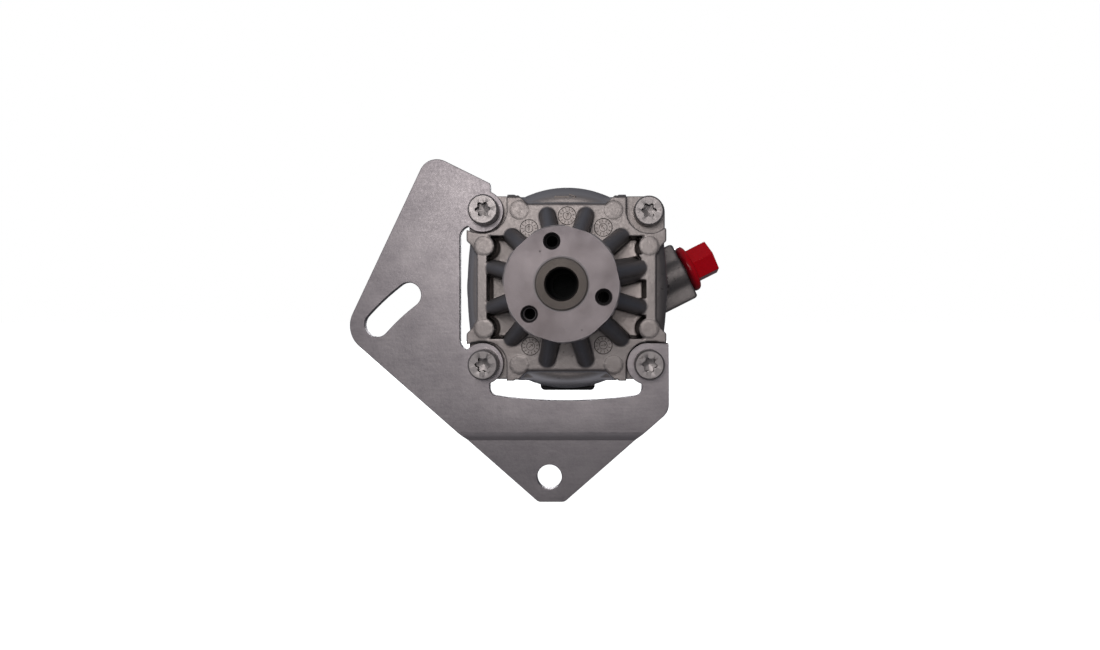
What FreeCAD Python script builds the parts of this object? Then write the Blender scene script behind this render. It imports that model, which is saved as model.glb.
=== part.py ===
import FreeCAD, Part
import math
import os
import sys
import Sketcher
from FreeCAD import Placement, Rotation, Vector

# Vane-type power steering pump on a pressed steel bracket. Millimetres.
# The shaft runs along Y and its pulley flange faces -Y, +X is right and +Z up,
# and the origin is the centre of the pulley bolt circle on the flange's front face.

os.makedirs("parts", exist_ok=True)
doc = FreeCAD.newDocument("power_steering_pump")
sheet = doc.addObject("Spreadsheet::Sheet", "Sizes")

SIZES = {
    # pulley flange
    "flange_radius": 22.3,
    "flat_depth": 0.9,
    "flange_thickness": 8.0,
    "flange_hub_radius": 15.0,
    "flange_hub_length": 5.2,
    "flange_edge": 0.6,
    "flat_count": 6,
    "flat_turn": 72.8,
    "bolt_circle": 33.0,
    "bolt_count": 3,
    "bolt_turn": 102.8,
    "bolt_radius": 2.5,
    "bolt_mouth": 0.45,
    # shaft
    "shaft_proud": 1.0,
    "shaft_nose_radius": 10.0,
    "shaft_nose_bore": 5.9,
    "shaft_nose_bore_depth": 20.0,
    "shaft_deep_bore": 4.6,
    "shaft_deep_bore_depth": 8.0,
    "shaft_radius": 8.5,
    "rotor_seat_radius": 7.5,
    "journal_radius": 6.0,
    "shaft_chamfer": 0.6,
    "seat_edge": 0.2,
    "fit_gap": 0.02,
    "spline_count": 12,
    "spline_depth": 1.0,
    "spline_width": 2.0,
    "spline_lead": 0.5,
    "tooth_root": 0.8,
    "cut_over": 1.0,
    # bearing and its nose
    "nose_front": 14.0,
    "nose_wall": 3.3,
    "nose_draft": 3.0,
    "circlip_land": 1.0,
    "circlip_thickness": 1.5,
    "circlip_bite": 1.0,
    "circlip_width": 2.2,
    "circlip_opening": 4.0,
    "clip_groove_gap": 0.1,
    "bearing_outer_radius": 17.5,
    "bearing_width": 10.0,
    "bearing_ring_wall": 2.4,
    "bearing_edge": 0.4,
    "ball_radius": 2.38,
    "ball_count": 9,
    "ball_gap": 0.03,
    "cage_wall": 1.4,
    "cage_width": 6.2,
    "seal_start": 1.0,
    "seal_radius": 15.0,
    "seal_width": 7.0,
    "seal_sheet": 1.6,
    "seal_lip_gap": 0.04,
    "seal_room": 9.0,
    "shaft_room": 0.8,
    "drain_room": 1.1,
    # bracket sheet
    "plate_thickness": 3.5,
    "lobe_gap": 0.7,
    "lobe_out": 1.1,
    "lobe_inset": 0.1,
    "plate_top_x": -61.3,
    "plate_top_z": 59.6,
    "plate_left_x": -98.8,
    "plate_left_z": -20.0,
    "plate_top_round": 8.0,
    "plate_left_round": 12.4,
    "plate_right_round": 7.0,
    "plate_foot_round": 3.0,
    "notch_in": 2.3,
    "notch_rise": 12.3,
    "side_window_out": 11.1,
    "side_window_top_drop": 6.5,
    "side_window_foot_rise": 5.8,
    "side_window_round": 5.0,
    "low_window_left_in": 2.1,
    "low_window_right_in": 3.0,
    "low_window_drop": 13.8,
    "low_window_bow": 216.0,
    "low_window_round": 3.5,
    "right_edge_out": 9.0,
    "right_edge_drop": 7.5,
    "pivot_x": -7.8,
    "pivot_z": -84.4,
    "pivot_radius": 5.5,
    "foot_land": 11.1,
    "foot_reach_left": 5.0,
    "foot_reach_right": 6.8,
    "slot_arc": 102.2,
    "slot_start": 127.5,
    "slot_sweep": 10.8,
    "slot_width": 11.0,
    "joggle_z": -65.4,
    "joggle_rise": 2.4,
    "joggle_step": 2.0,
    "bend_radius": 1.0,
    # front cover
    "cover_face": 41.0,
    "recess_depth": 6.5,
    "face_land_x": 3.1,
    "face_land_z": 3.1,
    "face_round": 1.2,
    "cover_back": 62.0,
    "skirt_wall": 11.8,
    "skirt_drop": 2.0,
    "skirt_round": 8.0,
    "flank_drop": 2.1,
    "flank_in": 3.0,
    "flank_bow": 160.0,
    "flank_round": 6.0,
    "screw_out": 4.2,
    "screw_turn": 43.0,
    "ear_in_x": 14.5,
    "ear_in_z": 14.6,
    "ear_land_x": 7.6,
    "ear_land_z": 7.2,
    "ear_round": 7.0,
    "ear_tip_cut": 1.2,
    "recess_radius": 10.0,
    "pocket_land": 1.2,
    "floor_wall": 10.0,
    "side_wall": 4.5,
    "pocket_round": 1.8,
    "pocket_draft": 4.0,
    "rib_turn": 15.0,
    "rib_half_width": 3.4,
    "rib_overlap": 1.2,
    "rib_drop": 1.0,
    "rib_top_land": 0.8,
    "rib_root": 12.0,
    "duct_radius": 5.6,
    "duct_inset": 0.5,
    "pad_radius": 3.9,
    "pad_height": 0.2,
    "pad_near": 0.1,
    "pad_far": 15.6,
    "pad_boss_wall": 0.8,
    "foot_half_width": 12.4,
    "foot_proud": 1.4,
    "foot_depth": 8.0,
    "foot_round": 2.0,
    "casting_edge": 0.8,
    # cover screws
    "screw_radius": 4.0,
    "screw_length": 30.0,
    "screw_tip": 1.0,
    "screw_head_radius": 6.6,
    "screw_head_height": 6.0,
    "screw_head_edge": 0.7,
    "screw_hole_gap": 0.5,
    "lobe_core": 2.45,
    "lobe_radius": 0.95,
    "lobe_circle": 2.43,
    "lobe_count": 6,
    "lobe_depth": 3.4,
    # rear housing
    "housing_flange": 8.0,
    "housing_slope": 4.8,
    "housing_neck_drop": 4.2,
    "housing_draft": 1.6,
    "housing_rear_round": 7.0,
    "ear_boss_radius": 8.1,
    "ear_boss_end": 2.0,
    "tap_room": 2.5,
    "cavity_radius": 33.5,
    "seal_groove_out": 4.9,
    "seal_groove_width": 3.0,
    "seal_groove_depth": 2.4,
    "seal_cord_gap": 0.05,
    # pumping cartridge
    "cartridge_gap": 0.1,
    "front_plate_thickness": 5.0,
    "rear_plate_thickness": 6.0,
    "journal_room": 0.6,
    "cam_width": 18.0,
    "cam_lift": 3.5,
    "cam_gap": 0.4,
    "rotor_radius": 20.9,
    "rotor_side_gap": 0.03,
    "vane_count": 10,
    "vane_thickness": 1.76,
    "vane_height": 8.2,
    "vane_gap": 0.03,
    "vane_foot_room": 0.4,
    "vane_tip_drop": 0.05,
    "slot_root_radius": 1.3,
    "rotor_clip_thickness": 1.0,
    "rotor_clip_bite": 0.6,
    "rotor_clip_wall": 1.8,
    "rotor_clip_opening": 2.5,
    "clip_room": 1.6,
    "clip_side_room": 0.5,
    "kidney_in": 0.7,
    "kidney_out": 0.4,
    "kidney_half_angle": 22.0,
    "kidney_turn": 45.0,
    "pin_radius": 2.0,
    "pin_tip": 0.4,
    "pin_in": 4.9,
    "pin_sink": 3.5,
    "spring_room": 2.0,
    "spring_inner": 10.0,
    "spring_outer": 16.0,
    "spring_sheet": 0.8,
    "bush_radius": 7.5,
    "bush_length": 8.0,
    "bush_wall_gap": 1.0,
    "bush_drain": 2.0,
    # outlet and flow valve
    "valve_wall": 4.0,
    "port_turn": 26.7,
    "port_offset": 17.4,
    "port_face": 58.1,
    "barrel_radius": 11.5,
    "barrel_end": -38.0,
    "barrel_cone": 3.0,
    "barrel_wall": 2.0,
    "port_half_width": 15.6,
    "port_shift": -0.1,
    "port_plate_half": 8.95,
    "port_plate_start": 30.0,
    "port_plate_round": 1.5,
    "valve_bore": 8.0,
    "valve_bore_end": -30.0,
    "valve_gap": 0.02,
    "union_radius": 9.5,
    "union_length": 16.1,
    "union_bore": 6.6,
    "union_throat": 3.0,
    "union_floor": 3.0,
    "union_funnel": 2.0,
    "union_ring_groove": 1.4,
    "union_ring_width": 2.4,
    "union_ring_place": 3.0,
    "spool_front_gap": 0.1,
    "spool_length": 26.0,
    "spool_land": 7.0,
    "spool_waist": 6.0,
    "spool_cup": 5.2,
    "spool_cup_floor": 1.0,
    "valve_wire": 0.7,
    "valve_wire_gap": 0.2,
    "valve_seat_gap": 0.5,
    "valve_turns": 8.0,
    "feed_radius": 3.0,
    "feed_place": 20.0,
    "plug_flange_radius": 12.7,
    "plug_flange_thickness": 5.0,
    "plug_rim_land": 0.3,
    "plug_flat": 8.3,
    "plug_hex_length": 11.9,
    "plug_wall": 1.6,
    "plug_stem_gap": 0.2,
    "plug_stem_tip": 0.6,
    "plug_stem_length": 9.0,
    # suction side, at the back
    "suction_x": -14.0,
    "suction_z": 18.0,
    "suction_radius": 9.0,
    "suction_bore": 7.2,
    "suction_length": 24.0,
    "suction_seat": 10.0,
    "suction_boss_wall": 4.0,
    "suction_boss_height": 4.0,
    "suction_bead": 0.9,
    "suction_bead_place": 5.0,
    "suction_bead_half": 0.5,
    "suction_edge": 0.5,
}

# Sizes that follow others, so pieces that meet keep together when one size changes.
TIES = {
    "flange_flat": "flange_radius - flat_depth",
    "nose_radius": "bearing_outer_radius + nose_wall",
    "nose_root_radius": "nose_radius + nose_draft",
    "front_plate_bore": "shaft_radius + shaft_room",
    "drain_radius": "shaft_radius + drain_room",
    "rear_plate_bore": "journal_radius + journal_room",
    "skirt_radius": "cavity_radius + skirt_wall",
    "screw_half_x": "(skirt_radius + screw_out) * cos(screw_turn)",
    "screw_half_z": "(skirt_radius + screw_out) * sin(screw_turn)",
    "recess": "cover_face + recess_depth",
    "plate_front": "recess - plate_thickness",
    "plate_lobe": "recess_radius - lobe_gap",
    "plate_notch_x": "notch_in - screw_half_x",
    "plate_notch_z": "screw_half_z + notch_rise",
    "side_window_x": "0 - screw_half_x - side_window_out",
    "side_window_top": "screw_half_z - side_window_top_drop",
    "side_window_bottom": "side_window_foot_rise - screw_half_z",
    "low_window_left": "low_window_left_in - screw_half_x",
    "low_window_right": "screw_half_x - low_window_right_in",
    "low_window_z": "0 - screw_half_z - low_window_drop",
    "plate_right_x": "screw_half_x + right_edge_out",
    "plate_right_z": "low_window_z - right_edge_drop",
    "plate_foot_left": "pivot_x - foot_reach_left",
    "plate_foot_right": "pivot_x + foot_reach_right",
    "plate_foot_z": "pivot_z - foot_land",
    "slot_end": "slot_start + slot_sweep",
    "skirt_front": "cover_face + skirt_drop",
    "flank_x": "skirt_radius - flank_drop",
    "cover_half_width": "screw_half_x + face_land_x",
    "cover_half_height": "screw_half_z + face_land_z",
    "ear_inner_x": "screw_half_x - ear_in_x",
    "ear_inner_z": "screw_half_z - ear_in_z",
    "flank_z": "ear_inner_z + flank_in",
    "ear_outer_x": "screw_half_x + ear_land_x",
    "ear_outer_z": "screw_half_z + ear_land_z",
    "pocket_half_height": "screw_half_z - recess_radius - pocket_land",
    "pocket_wall": "cover_half_width - side_wall",
    "pocket_floor": "cover_back - floor_wall",
    "rib_reach": "pocket_wall + rib_overlap",
    "rib_top": "nose_front + rib_drop",
    "rib_top_reach": "nose_radius + rib_top_land",
    "pad_inner_x": "screw_half_x - pad_far",
    "pad_inner_z": "screw_half_z + pad_near",
    "pad_outer_x": "screw_half_x + pad_near",
    "pad_outer_z": "screw_half_z - pad_far",
    "pad_boss_radius": "pad_radius + pad_boss_wall",
    "foot_z": "0 - skirt_radius - foot_proud",
    "foot_front": "cover_back - foot_depth",
    "housing_neck_radius": "skirt_radius - housing_neck_drop",
    "housing_rear_radius": "housing_neck_radius - housing_draft",
    "screw_tap_depth": "recess + screw_length - cover_back + tap_room",
    "ear_boss_length": "screw_tap_depth + ear_boss_end",
    "seal_groove_radius": "cavity_radius + seal_groove_out",
    "seal_cord_radius": "seal_groove_depth / 2 - seal_cord_gap",
    "cam_short": "rotor_radius + cam_gap",
    "cam_long": "cam_short + cam_lift",
    "kidney_inner": "rotor_radius - kidney_in",
    "kidney_outer": "cam_long - kidney_out",
    "pin_circle": "cavity_radius - pin_in",
    "plate_back": "cover_back + front_plate_thickness",
    "cam_back": "plate_back + cam_width",
    "cartridge_back": "cam_back + rear_plate_thickness",
    "cavity_back": "cartridge_back + spring_room",
    "port_depth": "cavity_back + valve_bore + valve_wall",
    "port_plate_front": "port_depth - port_plate_half",
    "port_plate_back": "port_depth + port_plate_half",
    "housing_back": "port_depth + barrel_radius + barrel_wall",
    "valve_coil": "spool_cup - valve_wire - valve_wire_gap",
    "plug_stem_radius": "union_bore - plug_stem_gap",
    "suction_boss_radius": "suction_radius + suction_boss_wall",
}

for row, (alias, value) in enumerate([*SIZES.items(), *TIES.items()], 1):
    sheet.set(f"A{row}", alias.replace("_", " "))
    sheet.set(f"B{row}", str(value) if alias in SIZES else f"={value}")
    sheet.setAlias(f"B{row}", alias)
doc.recompute()



class Size:
    """A length or count that carries its number and its expression on the sheet."""

    def __init__(self, text, number):
        self.text = text
        self.number = float(number)

    def joined(self, sign, other, number):
        return Size(f"({self.text} {sign} {other.text})", number)

    def __add__(self, other):
        other = as_size(other)
        return self.joined("+", other, self.number + other.number)

    def __sub__(self, other):
        other = as_size(other)
        return self.joined("-", other, self.number - other.number)

    def __mul__(self, other):
        other = as_size(other)
        return self.joined("*", other, self.number * other.number)

    def __truediv__(self, other):
        other = as_size(other)
        return self.joined("/", other, self.number / other.number)

    def __radd__(self, other):
        return as_size(other) + self

    def __rsub__(self, other):
        return as_size(other) - self

    def __rmul__(self, other):
        return as_size(other) * self

    def __rtruediv__(self, other):
        return as_size(other) / self

    def __neg__(self):
        return 0 - self


def as_size(value):
    """A bare number becomes a Size that has no cell behind it."""
    if isinstance(value, Size):
        return value
    return Size(f"({float(value)})", value)


def cos(angle):
    angle = as_size(angle)
    return Size(f"cos({angle.text})", math.cos(math.radians(angle.number)))


def sin(angle):
    angle = as_size(angle)
    return Size(f"sin({angle.text})", math.sin(math.radians(angle.number)))


def tan(angle):
    return sin(angle) / cos(angle)


class Cells:
    """Reads the sheet's cells as Sizes, so s.flange_radius is that cell."""

    def __getattr__(self, alias):
        return Size(f"{sheet.Name}.{alias}", sheet.get(alias))


s = Cells()


def bind(thing, prop, value):
    """Ties a property of an object to an expression on the sheet."""
    thing.setExpression(prop, as_size(value).text)


def sound(thing):
    """Stops at a feature that failed, and hands it back otherwise."""
    doc.recompute()
    if "Invalid" in thing.State or "Error" in thing.State or thing.Shape.isNull():
        sys.exit(f"{thing.Name} failed: {thing.State}")
    return thing


def polar(radius, angle):
    """Sketch point at a radius and an angle, counted from +X towards +Z."""
    return radius * cos(angle), radius * sin(angle)


def turned_point(reach, aside, angle):
    """Sketch point at a reach along a turned axis, and aside from it."""
    return (
        reach * cos(angle) - aside * sin(angle),
        reach * sin(angle) + aside * cos(angle),
    )


def body(label):
    thing = doc.addObject("PartDesign::Body", label)
    thing.Label = label
    return thing


def origin_part(owner, role):
    """One of a body's own origin planes or axes."""
    return next(item for item in owner.Origin.OriginFeatures if item.Role == role)


def sketch(owner, name, role="XZ_Plane", depth=0.0):
    """An empty sketch; on the XZ plane depth is its Y, on YZ its X, on XY its Z."""
    thing = owner.newObject("Sketcher::SketchObject", name)
    thing.AttachmentSupport = [(origin_part(owner, role), "")]
    thing.MapMode = "FlatFace"
    bind(thing, "AttachmentOffset.Base.z", 0 - depth if role == "XZ_Plane" else depth)
    return thing


def hold(thing, geometry, end, x, y):
    """Places one point of a sketch by its two distances from the origin."""
    for kind, axis, value in (("DistanceX", -2, as_size(x)), ("DistanceY", -1, as_size(y))):
        if abs(value.number) < 1e-9:
            thing.addConstraint(Sketcher.Constraint("PointOnObject", geometry, end, axis))
            continue
        index = thing.addConstraint(Sketcher.Constraint(kind, -1, 1, geometry, end, value.number))
        bind(thing, f"Constraints[{index}]", value)


def circle(thing, x, y, radius):
    middle = Vector(as_size(x).number, as_size(y).number, 0)
    radius = as_size(radius)
    geometry = thing.addGeometry(Part.Circle(middle, Vector(0, 0, 1), radius.number))
    hold(thing, geometry, 3, x, y)
    index = thing.addConstraint(Sketcher.Constraint("Radius", geometry, radius.number))
    bind(thing, f"Constraints[{index}]", radius)


def arc_between(start, end, radius, side):
    """Arc through two points whose centre lies left (+1) or right (-1) of the way."""
    chord = end - start
    left = Vector(-chord.y, chord.x, 0)
    left.normalize()
    rise = math.sqrt(radius ** 2 - (chord.Length / 2) ** 2)
    centre = (start + end) * 0.5 + left * side * rise
    first, last = (start, end) if side > 0 else (end, start)
    angles = [math.atan2(spot.y - centre.y, spot.x - centre.x) for spot in (first, last)]
    if angles[1] < angles[0]:
        angles[1] += 2 * math.pi
    return Part.ArcOfCircle(Part.Circle(centre, Vector(0, 0, 1), radius), *angles)


def outline(thing, points, arcs=None):
    """Closed outline; arcs gives an edge's index its radius and the side of its centre."""
    arcs = arcs or {}
    count = len(points)
    spots = [Vector(as_size(x).number, as_size(y).number, 0) for x, y in points]
    ends = []
    for index in range(count):
        start, end = spots[index], spots[(index + 1) % count]
        if index in arcs:
            radius, side = arcs[index]
            geometry = thing.addGeometry(arc_between(start, end, as_size(radius).number, side))
            ends.append((geometry, 1, 2) if side > 0 else (geometry, 2, 1))
        else:
            ends.append((thing.addGeometry(Part.LineSegment(start, end)), 1, 2))
    for index in range(count):
        geometry, first, last = ends[index]
        follower, start, unused = ends[(index + 1) % count]
        thing.addConstraint(Sketcher.Constraint("Coincident", geometry, last, follower, start))
        hold(thing, geometry, first, *points[index])
    for index, (radius, side) in arcs.items():
        radius = as_size(radius)
        place = thing.addConstraint(Sketcher.Constraint("Radius", ends[index][0], radius.number))
        bind(thing, f"Constraints[{place}]", radius)


def box_points(left, low, right, high):
    return [(left, low), (right, low), (right, high), (left, high)]


def pad(owner, profile, length, direction=None):
    """Adds material from the sketch towards -Y (the sketch normal), raked if asked."""
    thing = owner.newObject("PartDesign::Pad", profile.Name + "_pad")
    thing.Profile = profile
    bind(thing, "Length", length)
    if direction:
        thing.UseCustomVector = True
        thing.AlongSketchNormal = True
        for axis, value in zip("xyz", direction):
            bind(thing, f"Direction.{axis}", value)
    return sound(thing)


def pocket(owner, profile, length, draft=None):
    """Cuts from the sketch towards +Y, against the sketch normal, narrowing by a draft."""
    thing = owner.newObject("PartDesign::Pocket", profile.Name + "_cut")
    thing.Profile = profile
    bind(thing, "Length", length)
    if draft:
        bind(thing, "TaperAngle", 0 - draft)
    before = owner.Shape.Volume
    if sound(thing).Shape.Volume >= before:
        sys.exit(f"{thing.Name} cuts nothing")
    return thing


def turned(owner, name, points, cut=False, role="XY_Plane", axis="V_Axis"):
    """Turns a profile of (radius, Y) corners about the Y axis, or cuts with it."""
    profile = sketch(owner, name, role)
    outline(profile, points)
    kind = "PartDesign::Groove" if cut else "PartDesign::Revolution"
    thing = owner.newObject(kind, name + "_turn")
    thing.Profile = profile
    thing.ReferenceAxis = (profile, [axis])
    thing.Angle = 360
    before = owner.Shape.Volume if cut else 0
    if sound(thing).Shape.Volume >= before and cut:
        sys.exit(f"{thing.Name} cuts nothing")
    return thing


def ring_of(owner, features, count, turn=360.0):
    """Repeats features round the Y axis."""
    thing = owner.newObject("PartDesign::PolarPattern", features[-1].Name + "_ring")
    thing.Originals = features
    thing.Axis = (origin_part(owner, "Y_Axis"), [""])
    thing.Angle = turn
    bind(thing, "Occurrences", count)
    owner.Tip = thing
    return sound(thing)


def edges_through(shape, spots, reach=0.02):
    """Names of the edges that pass within reach of the given points."""
    names = []
    for spot in spots:
        probe = Part.Vertex(Vector(*[as_size(value).number for value in spot]))
        found = [
            f"Edge{index}"
            for index, edge in enumerate(shape.Edges, 1)
            if edge.distToShape(probe)[0] < reach
        ]
        if not found:
            sys.exit(f"no edge at {probe.Point}")
        names += [name for name in found if name not in names]
    return names


def fillet(owner, base, spots, radius, kind="PartDesign::Fillet"):
    """Rounds (or chamfers) the edges of the body's last feature at the spots."""
    thing = owner.newObject(kind, base.Name + "_soft")
    thing.Base = (base, edges_through(base.Shape, spots))
    bind(thing, "Radius" if kind.endswith("Fillet") else "Size", radius)
    return sound(thing)


def place(thing, x, y, z, turn=0.0):
    """Moves a piece to its seat, turned about the Y axis."""
    thing.Placement = Placement(Vector(0, 0, 0), Rotation(Vector(0, 1, 0), 1))
    bind(thing, "Placement.Base.x", x)
    bind(thing, "Placement.Base.y", y)
    bind(thing, "Placement.Base.z", z)
    bind(thing, "Placement.Rotation.Angle", turn)


# Depth stations that several pieces share.
circlip_front = s.nose_front + s.circlip_land
bearing_front = circlip_front + s.circlip_thickness
bearing_back = bearing_front + s.bearing_width
seal_front = bearing_back + s.seal_start
cartridge_radius = s.cavity_radius - s.cartridge_gap
bush_front = s.cavity_back + s.bush_wall_gap
bush_back = bush_front + s.bush_length
pocket_depth = s.pocket_floor - s.cover_face
screw_places = [
    (0 - s.screw_half_x, s.screw_half_z),
    (s.screw_half_x, s.screw_half_z),
    (0 - s.screw_half_x, 0 - s.screw_half_z),
    (s.screw_half_x, 0 - s.screw_half_z),
]
sides = (-1, 1)
corners = [(across, up) for across in sides for up in sides]
pieces = []

# Pulley flange: a disc with six shallow flats, three threaded holes and a hub.
flange = body("drive_flange")
flange_back = s.flange_thickness + s.flange_hub_length
bore = s.shaft_nose_radius + s.fit_gap / 2
turned(flange, "flange_profile", [
    (bore, 0),
    (s.flange_radius - s.flange_edge, 0),
    (s.flange_radius, s.flange_edge),
    (s.flange_radius, s.flange_thickness - s.flange_edge),
    (s.flange_radius - s.flange_edge, s.flange_thickness),
    (s.flange_hub_radius, s.flange_thickness),
    (s.flange_hub_radius, flange_back),
    (bore, flange_back),
])
flat_sketch = sketch(flange, "flange_flat_outline", depth=as_size(0))
flat_out = s.flange_radius + s.cut_over
flat_half = s.flange_radius * sin(180 / s.flat_count)
outline(flat_sketch, [
    turned_point(reach, side * flat_half, s.flat_turn) for reach, side in (
        (s.flange_flat, -1), (flat_out, -1), (flat_out, 1), (s.flange_flat, 1))
])
flat_cut = pocket(flange, flat_sketch, s.flange_thickness)
ring_of(flange, [flat_cut], s.flat_count)
bolt_sketch = sketch(flange, "pulley_bolt_outline", depth=as_size(0))
circle(bolt_sketch, *polar(s.bolt_circle / 2, s.bolt_turn), s.bolt_radius)
bolt_cut = pocket(flange, bolt_sketch, s.flange_thickness)
bolt_ring = ring_of(flange, [bolt_cut], s.bolt_count)
mouths = []
for step in range(int(s.bolt_count.number)):
    turn = s.bolt_turn + step * 360 / s.bolt_count
    middle_x, middle_z = polar(s.bolt_circle / 2, turn)
    mouths.append((middle_x + s.bolt_radius, 0, middle_z))
fillet(flange, bolt_ring, mouths, s.bolt_mouth, "PartDesign::Chamfer")
pieces.append(flange)

# Shaft: hollow nose, bearing seat, splined rotor seat and rear journal.
shaft = body("drive_shaft")
shaft_back = bush_back - 1
seat_back = s.cam_back + s.clip_room
turned(shaft, "shaft_profile", [
    (0, s.shaft_nose_bore_depth + s.shaft_deep_bore_depth),
    (s.shaft_deep_bore, s.shaft_nose_bore_depth + s.shaft_deep_bore_depth - s.shaft_deep_bore / 2),
    (s.shaft_deep_bore, s.shaft_nose_bore_depth),
    (s.shaft_nose_bore, s.shaft_nose_bore_depth),
    (s.shaft_nose_bore, s.shaft_chamfer - s.shaft_proud),
    (s.shaft_nose_bore + s.shaft_chamfer, 0 - s.shaft_proud),
    (s.shaft_nose_radius - s.shaft_chamfer, 0 - s.shaft_proud),
    (s.shaft_nose_radius, s.shaft_chamfer - s.shaft_proud),
    (s.shaft_nose_radius, bearing_front),
    (s.shaft_radius, bearing_front),
    (s.shaft_radius, s.cover_back),
    (s.rotor_seat_radius, s.cover_back + 1),
    (s.rotor_seat_radius, s.cam_back),
    (s.rotor_seat_radius - s.rotor_clip_bite, s.cam_back),
    (s.rotor_seat_radius - s.rotor_clip_bite, s.cam_back + s.rotor_clip_thickness),
    (s.rotor_seat_radius, s.cam_back + s.rotor_clip_thickness),
    (s.rotor_seat_radius, seat_back - s.seat_edge),
    (s.journal_radius, seat_back),
    (s.journal_radius, shaft_back - s.shaft_chamfer),
    (s.journal_radius - s.shaft_chamfer, shaft_back),
    (0, shaft_back),
])
spline_sketch = sketch(shaft, "spline_outline", depth=s.plate_back - s.spline_lead)
outline(spline_sketch, box_points(
    s.rotor_seat_radius - s.spline_depth, 0 - s.spline_width / 2,
    s.rotor_seat_radius + 2, s.spline_width / 2,
))
spline_cut = pocket(shaft, spline_sketch, seat_back - s.plate_back + s.spline_lead * 2)
ring_of(shaft, [spline_cut], s.spline_count)
pieces.append(shaft)

# Deep-groove ball bearing in the nose: two rings with grooves, balls and a cage.
ball_circle = (s.shaft_radius + s.bearing_outer_radius) / 2
bearing_middle = bearing_front + s.bearing_width / 2
groove_radius = s.ball_radius + s.ball_gap


def bearing_ring(label, inner, outer, chamfer_inside):
    """One bearing ring, its ball groove cut by a ring of the groove's section."""
    ring = body(label)
    seat, far, edge = inner, outer, s.bearing_edge
    if not chamfer_inside:
        seat, far, edge = outer, inner, 0 - s.bearing_edge
    low, high = bearing_front + s.bearing_edge, bearing_back - s.bearing_edge
    turned(ring, label + "_profile", [
        (seat + edge, bearing_front), (far, bearing_front), (far, bearing_back),
        (seat + edge, bearing_back), (seat, high), (seat, low),
    ])
    groove_sketch = sketch(ring, label + "_groove", "XY_Plane")
    circle(groove_sketch, ball_circle, bearing_middle, groove_radius)
    groove = ring.newObject("PartDesign::Groove", label + "_race")
    groove.Profile = groove_sketch
    groove.ReferenceAxis = (groove_sketch, ["V_Axis"])
    groove.Angle = 360
    sound(groove)
    return ring


inner_bore = s.shaft_radius + s.fit_gap / 2
pieces.append(bearing_ring(
    "bearing_inner_ring", inner_bore, s.shaft_radius + s.bearing_ring_wall, True))
pieces.append(bearing_ring(
    "bearing_outer_ring", s.bearing_outer_radius - s.bearing_ring_wall,
    s.bearing_outer_radius - s.fit_gap, False))

cage = body("bearing_cage")
turned(cage, "cage_profile", [
    (ball_circle - s.cage_wall / 2, bearing_middle - s.cage_width / 2),
    (ball_circle + s.cage_wall / 2, bearing_middle - s.cage_width / 2),
    (ball_circle + s.cage_wall / 2, bearing_middle + s.cage_width / 2),
    (ball_circle - s.cage_wall / 2, bearing_middle + s.cage_width / 2),
])
cage_sketch = sketch(cage, "cage_window", "YZ_Plane", ball_circle + s.cage_wall)
circle(cage_sketch, bearing_middle, 0, groove_radius)
cage_cut = pocket(cage, cage_sketch, s.cage_wall * 2)
ring_of(cage, [cage_cut], s.ball_count)
pieces.append(cage)

balls = []
for step in range(int(s.ball_count.number)):
    ball = doc.addObject("Part::Sphere", f"ball_{step + 1}")
    bind(ball, "Radius", s.ball_radius)
    ball_x, ball_z = polar(ball_circle, step * 360 / s.ball_count)
    place(ball, ball_x, bearing_middle, ball_z)
    balls.append(ball)
ball_set = doc.addObject("Part::Compound", "bearing_balls")
ball_set.Links = balls
pieces.append(ball_set)

# Spring clip in front of the bearing, open at the bottom.
circlip = body("bearing_circlip")
clip_outer = s.bearing_outer_radius + s.circlip_bite
turned(circlip, "circlip_profile", [
    (clip_outer - s.circlip_width, circlip_front), (clip_outer, circlip_front),
    (clip_outer, bearing_front), (clip_outer - s.circlip_width, bearing_front),
])
clip_gap = sketch(circlip, "circlip_gap", depth=s.nose_front)
outline(clip_gap, box_points(
    0 - s.circlip_opening, 0 - clip_outer - 1,
    s.circlip_opening, 0 - s.bearing_outer_radius / 2))
pocket(circlip, clip_gap, s.circlip_land + s.circlip_thickness + 1)
pieces.append(circlip)

# Lip seal behind the bearing: steel-backed outer wall and a lip on the shaft.
seal = body("shaft_seal")
lip = s.shaft_radius + s.seal_lip_gap
lip_wall = s.seal_sheet * 1.4
seal_back = seal_front + s.seal_width
turned(seal, "seal_profile", [
    (lip + lip_wall, seal_front),
    (s.seal_radius - s.fit_gap / 2, seal_front),
    (s.seal_radius - s.fit_gap / 2, seal_back),
    (s.seal_radius - s.seal_sheet, seal_back),
    (s.seal_radius - s.seal_sheet, seal_front + s.seal_sheet),
    (lip + lip_wall, seal_front + s.seal_sheet),
    (lip + s.seal_sheet, seal_back - s.seal_sheet),
    (lip, seal_back - s.seal_sheet * 1.5),
    (lip + s.seal_sheet / 3, seal_front + s.seal_sheet / 1.3),
])
pieces.append(seal)

# Front cover: square face on a round skirt, corner ears, ribbed bearing nose.
cover = body("front_cover")
skirt = turned(cover, "skirt_profile", [
    (0, s.skirt_front), (s.skirt_radius, s.skirt_front),
    (s.skirt_radius, s.cover_back), (0, s.cover_back),
])
fillet(cover, skirt, [(s.skirt_radius, s.skirt_front, 0)], s.skirt_round)


def flank_sketch(owner, name, depth):
    """The two slightly bowed sides that join the ears."""
    profile = sketch(owner, name, depth=depth)
    outline(profile, box_points(0 - s.flank_x, 0 - s.flank_z, s.flank_x, s.flank_z), {
        1: (s.flank_bow, 1), 3: (s.flank_bow, 1)})
    return profile


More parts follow.
